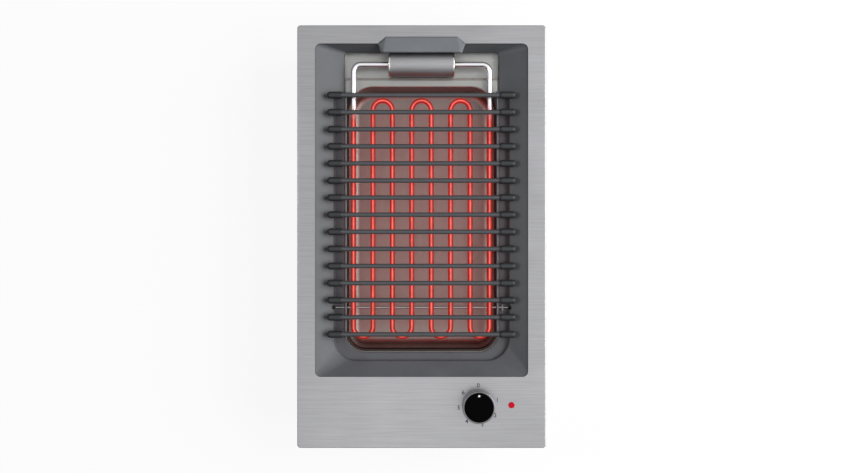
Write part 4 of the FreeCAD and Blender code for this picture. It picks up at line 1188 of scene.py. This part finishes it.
class GRILL_OT_grid(bpy.types.Operator):
    """Bars, cast end pieces and tie rods of the grid"""

    bl_idname = "grill.grid"
    bl_label = "Grid"

    def execute(self, context):
        finish = context.scene.grill_finish
        # graphite enamel over round bar: dark grey with a soft line of light
        bars = cast_iron(
            "graphite_enamelled_bar",
            finish.bar_colour,
            linear("#484a4d"),
            roughness=0.36,
            grain_mm=1.6,
            depth_mm=0.02,
        )
        dress(["grid_bars", "grid_tie_left", "grid_tie_right"], bars)
        # black enamel over castings: nearly black, with a fine pitted skin
        ends = cast_iron(
            "black_enamelled_casting",
            linear("#191b1d"),
            linear("#212328"),
            roughness=0.55,
            grain_mm=1.1,
            depth_mm=0.05,
        )
        dress(["grid_feet"], ends)
        return {"FINISHED"}


class GRILL_OT_pan(bpy.types.Operator):
    """Deep-drawn drip pan and the liner of its well"""

    bl_idname = "grill.pan"
    bl_label = "Drip pan and well"

    def execute(self, context):
        # deep-drawn stainless: warm grey with faint draw lines; its darker rim is painted shade, and a
        # guess
        pan = drawn_pan(
            "deep_drawn_stainless",
            linear("#7e7a76"),
            linear("#8c8884"),
            flange=linear("#929290"),
            rim_painted_shade=linear("#34312f"),
        )
        dress(["drip_pan"], pan)
        # aluminised sheet: pale grey that changes softly from patch to patch
        liner = galvanised("aluminised_liner", linear("#8c8e90"), linear("#a2a4a6"))
        dress(["well_liner"], liner)
        return {"FINISHED"}


class GRILL_OT_controls(bpy.types.Operator):
    """Knob, ring, pointer and lamp, with the regulator and the small fittings below the plate"""

    bl_idname = "grill.controls"
    bl_label = "Knob and lamp"

    def execute(self, context):
        # moulded phenolic: matt and black all over
        phenolic = moulded(
            "black_phenolic",
            linear("#010101"),
            linear("#030303"),
            roughness=0.6,
            grain_mm=0.5,
            depth_mm=0.01,
            level=0.02,
        )
        dress(["knob_cap"], phenolic)
        # turned steel: fine rings round the knob
        ring = turned_metal(
            "turned_steel_ring", linear("#68686a"), linear("#868688"), roughness=0.3, centre=KNOB_CENTRE
        )
        dress(["knob_bezel"], ring)
        # white paint pressed into a hollow: a plain matt dot
        dot = moulded(
            "white_paint_fill",
            linear("#e4e4e2"),
            linear("#f2f2f0"),
            roughness=0.5,
            grain_mm=0.6,
            depth_mm=0.004,
        )
        dress(["knob_pointer"], dot)

        # moulded polycarbonate lens: deep red, with the faint pattern of its prisms
        prism_mm = 1.2
        material, tree = new_material("red_polycarbonate_lens")
        place = add(tree, "ShaderNodeTexCoord").outputs["Object"]
        prism = add(tree, "ShaderNodeTexVoronoi", {"Scale": 1000 / prism_mm}, {"Vector": place})
        tone = add(
            tree,
            "ShaderNodeMix",
            {"data_type": "RGBA", FIRST: linear("#a8041a"), SECOND: linear("#c40a24")},
            {FACTOR: prism.outputs["Distance"]},
        )
        bump = add(
            tree,
            "ShaderNodeBump",
            {"Strength": 0.2, "Distance": PRISM_HEIGHT},
            {"Height": prism.outputs["Distance"]},
        )
        shader = add(
            tree,
            "ShaderNodeBsdfPrincipled",
            {
                "Roughness": 0.4,
                "IOR": 1.58,
                "Specular IOR Level": 0.1,
                "Subsurface Weight": 0.2,
                "Subsurface Scale": 0.002,
                "Emission Color": linear("#c80a28"),
                "Emission Strength": 0.1,
            },
            {"Base Color": tone.outputs[MIXED], "Normal": bump.outputs[0]},
        )
        add(tree, "ShaderNodeOutputMaterial", None, {"Surface": shader.outputs["BSDF"]})
        dress(["lamp_lens"], material)
        # silicone rubber: matt black
        seal = moulded(
            "silicone_rubber",
            linear("#161616"),
            linear("#202020"),
            roughness=0.6,
            grain_mm=0.6,
            depth_mm=0.02,
        )
        dress(["shaft_seal"], seal)
        # moulded nylon: black with a slight sheen
        black = moulded(
            "black_nylon",
            linear("#141416"),
            linear("#1f1f22"),
            roughness=0.45,
            grain_mm=0.7,
            depth_mm=0.02,
        )
        dress(["regulator_body", "lamp_holder", "thermal_cutout", "cable_bush", "cable_bush_nut"], black)
        # zinc-plated steel: pale grey that changes softly from patch to patch
        zinc = galvanised("zinc_plated_steel", linear("#a0a3a8"), linear("#b6b9bd"))
        dress(["regulator_shaft", "regulator_nut", "lamp_ring"], zinc)
        # galvanised sheet: grey with spangles
        sheet = galvanised("galvanised_bracket", linear("#8d9093"), linear("#a6a9ac"))
        dress(["regulator_bracket"], sheet)
        # stamped and turned brass: warm yellow
        brass = rolled_steel(
            "brass_blades",
            linear("#a8874a"),
            linear("#c4a25c"),
            roughness=0.3,
            streak=(4.0, 4.0, 4.0),
            depth_mm=0.004,
        )
        dress(["regulator_blades", "terminal_screws", "earth_nut"], brass)
        return {"FINISHED"}


class GRILL_OT_casing(bpy.types.Operator):
    """Galvanised casing and base, clamps, screws, insulation and terminal block"""

    bl_idname = "grill.casing"
    bl_label = "Casing and fixings"

    def execute(self, context):
        # hot-dip galvanised sheet: spangles of differing greys
        sheet = galvanised("galvanised_sheet", linear("#8f9295"), linear("#a9acaf"))
        panels = ["casing_left", "casing_right", "casing_front", "casing_back"]
        dress([*panels, "base_tray", "partition", "heat_shield"], sheet)
        # bright zinc plate: cooler and smoother than the sheet
        zinc = rolled_steel(
            "bright_zinc_plate",
            linear("#a6a9ae"),
            linear("#bcbfc4"),
            roughness=0.3,
            streak=(4.0, 4.0, 4.0),
            depth_mm=0.004,
        )
        dress(["clamp_brackets", "clamp_screws", "base_screws", "earth_stud"], zinc)
        # pressed mineral fibre: matted pale threads
        dress(["insulation_mat"], fibre_mat("pressed_mineral_fibre"))
        # moulded melamine: cream and slightly glossy
        block = moulded(
            "cream_melamine",
            linear("#cfcabb"),
            linear("#dcd8cb"),
            roughness=0.4,
            grain_mm=0.8,
            depth_mm=0.02,
        )
        dress(["terminal_block"], block)
        return {"FINISHED"}


class GRILL_PT_pieces(bpy.types.Panel):
    """Lists the pieces of the grill and the finishes that can be changed"""

    bl_label = "Grill"
    bl_idname = "GRILL_PT_pieces"
    bl_space_type = "VIEW_3D"
    bl_region_type = "UI"
    bl_category = "Grill"

    def draw(self, context):
        for operator in OPERATORS:
            self.layout.operator(operator.bl_idname, text=operator.bl_label)
        for group in (context.scene.grill_finish, context.scene.grill_sizes):
            for name in group.__annotations__:
                self.layout.prop(group, name)


OPERATORS = (
    GRILL_OT_stage,
    GRILL_OT_plate,
    GRILL_OT_surround,
    GRILL_OT_hinge,
    GRILL_OT_element,
    GRILL_OT_grid,
    GRILL_OT_pan,
    GRILL_OT_controls,
    GRILL_OT_casing,
)
CLASSES = (GrillFinish, GrillSizes, *OPERATORS, GRILL_PT_pieces)


def register():
    for kind in CLASSES:
        bpy.utils.register_class(kind)
    bpy.types.Scene.grill_finish = bpy.props.PointerProperty(type=GrillFinish)
    bpy.types.Scene.grill_sizes = bpy.props.PointerProperty(type=GrillSizes)


def unregister():
    del bpy.types.Scene.grill_sizes
    del bpy.types.Scene.grill_finish
    for kind in reversed(CLASSES):
        bpy.utils.unregister_class(kind)


def main():
    """Registers the add-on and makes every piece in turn."""
    register()
    bpy.ops.grill.stage()
    bpy.ops.grill.plate()
    bpy.ops.grill.surround()
    bpy.ops.grill.hinge()
    bpy.ops.grill.element()
    bpy.ops.grill.grid()
    bpy.ops.grill.pan()
    bpy.ops.grill.controls()
    bpy.ops.grill.casing()
    bpy.context.view_layer.update()


if __name__ == "__main__":
    main()
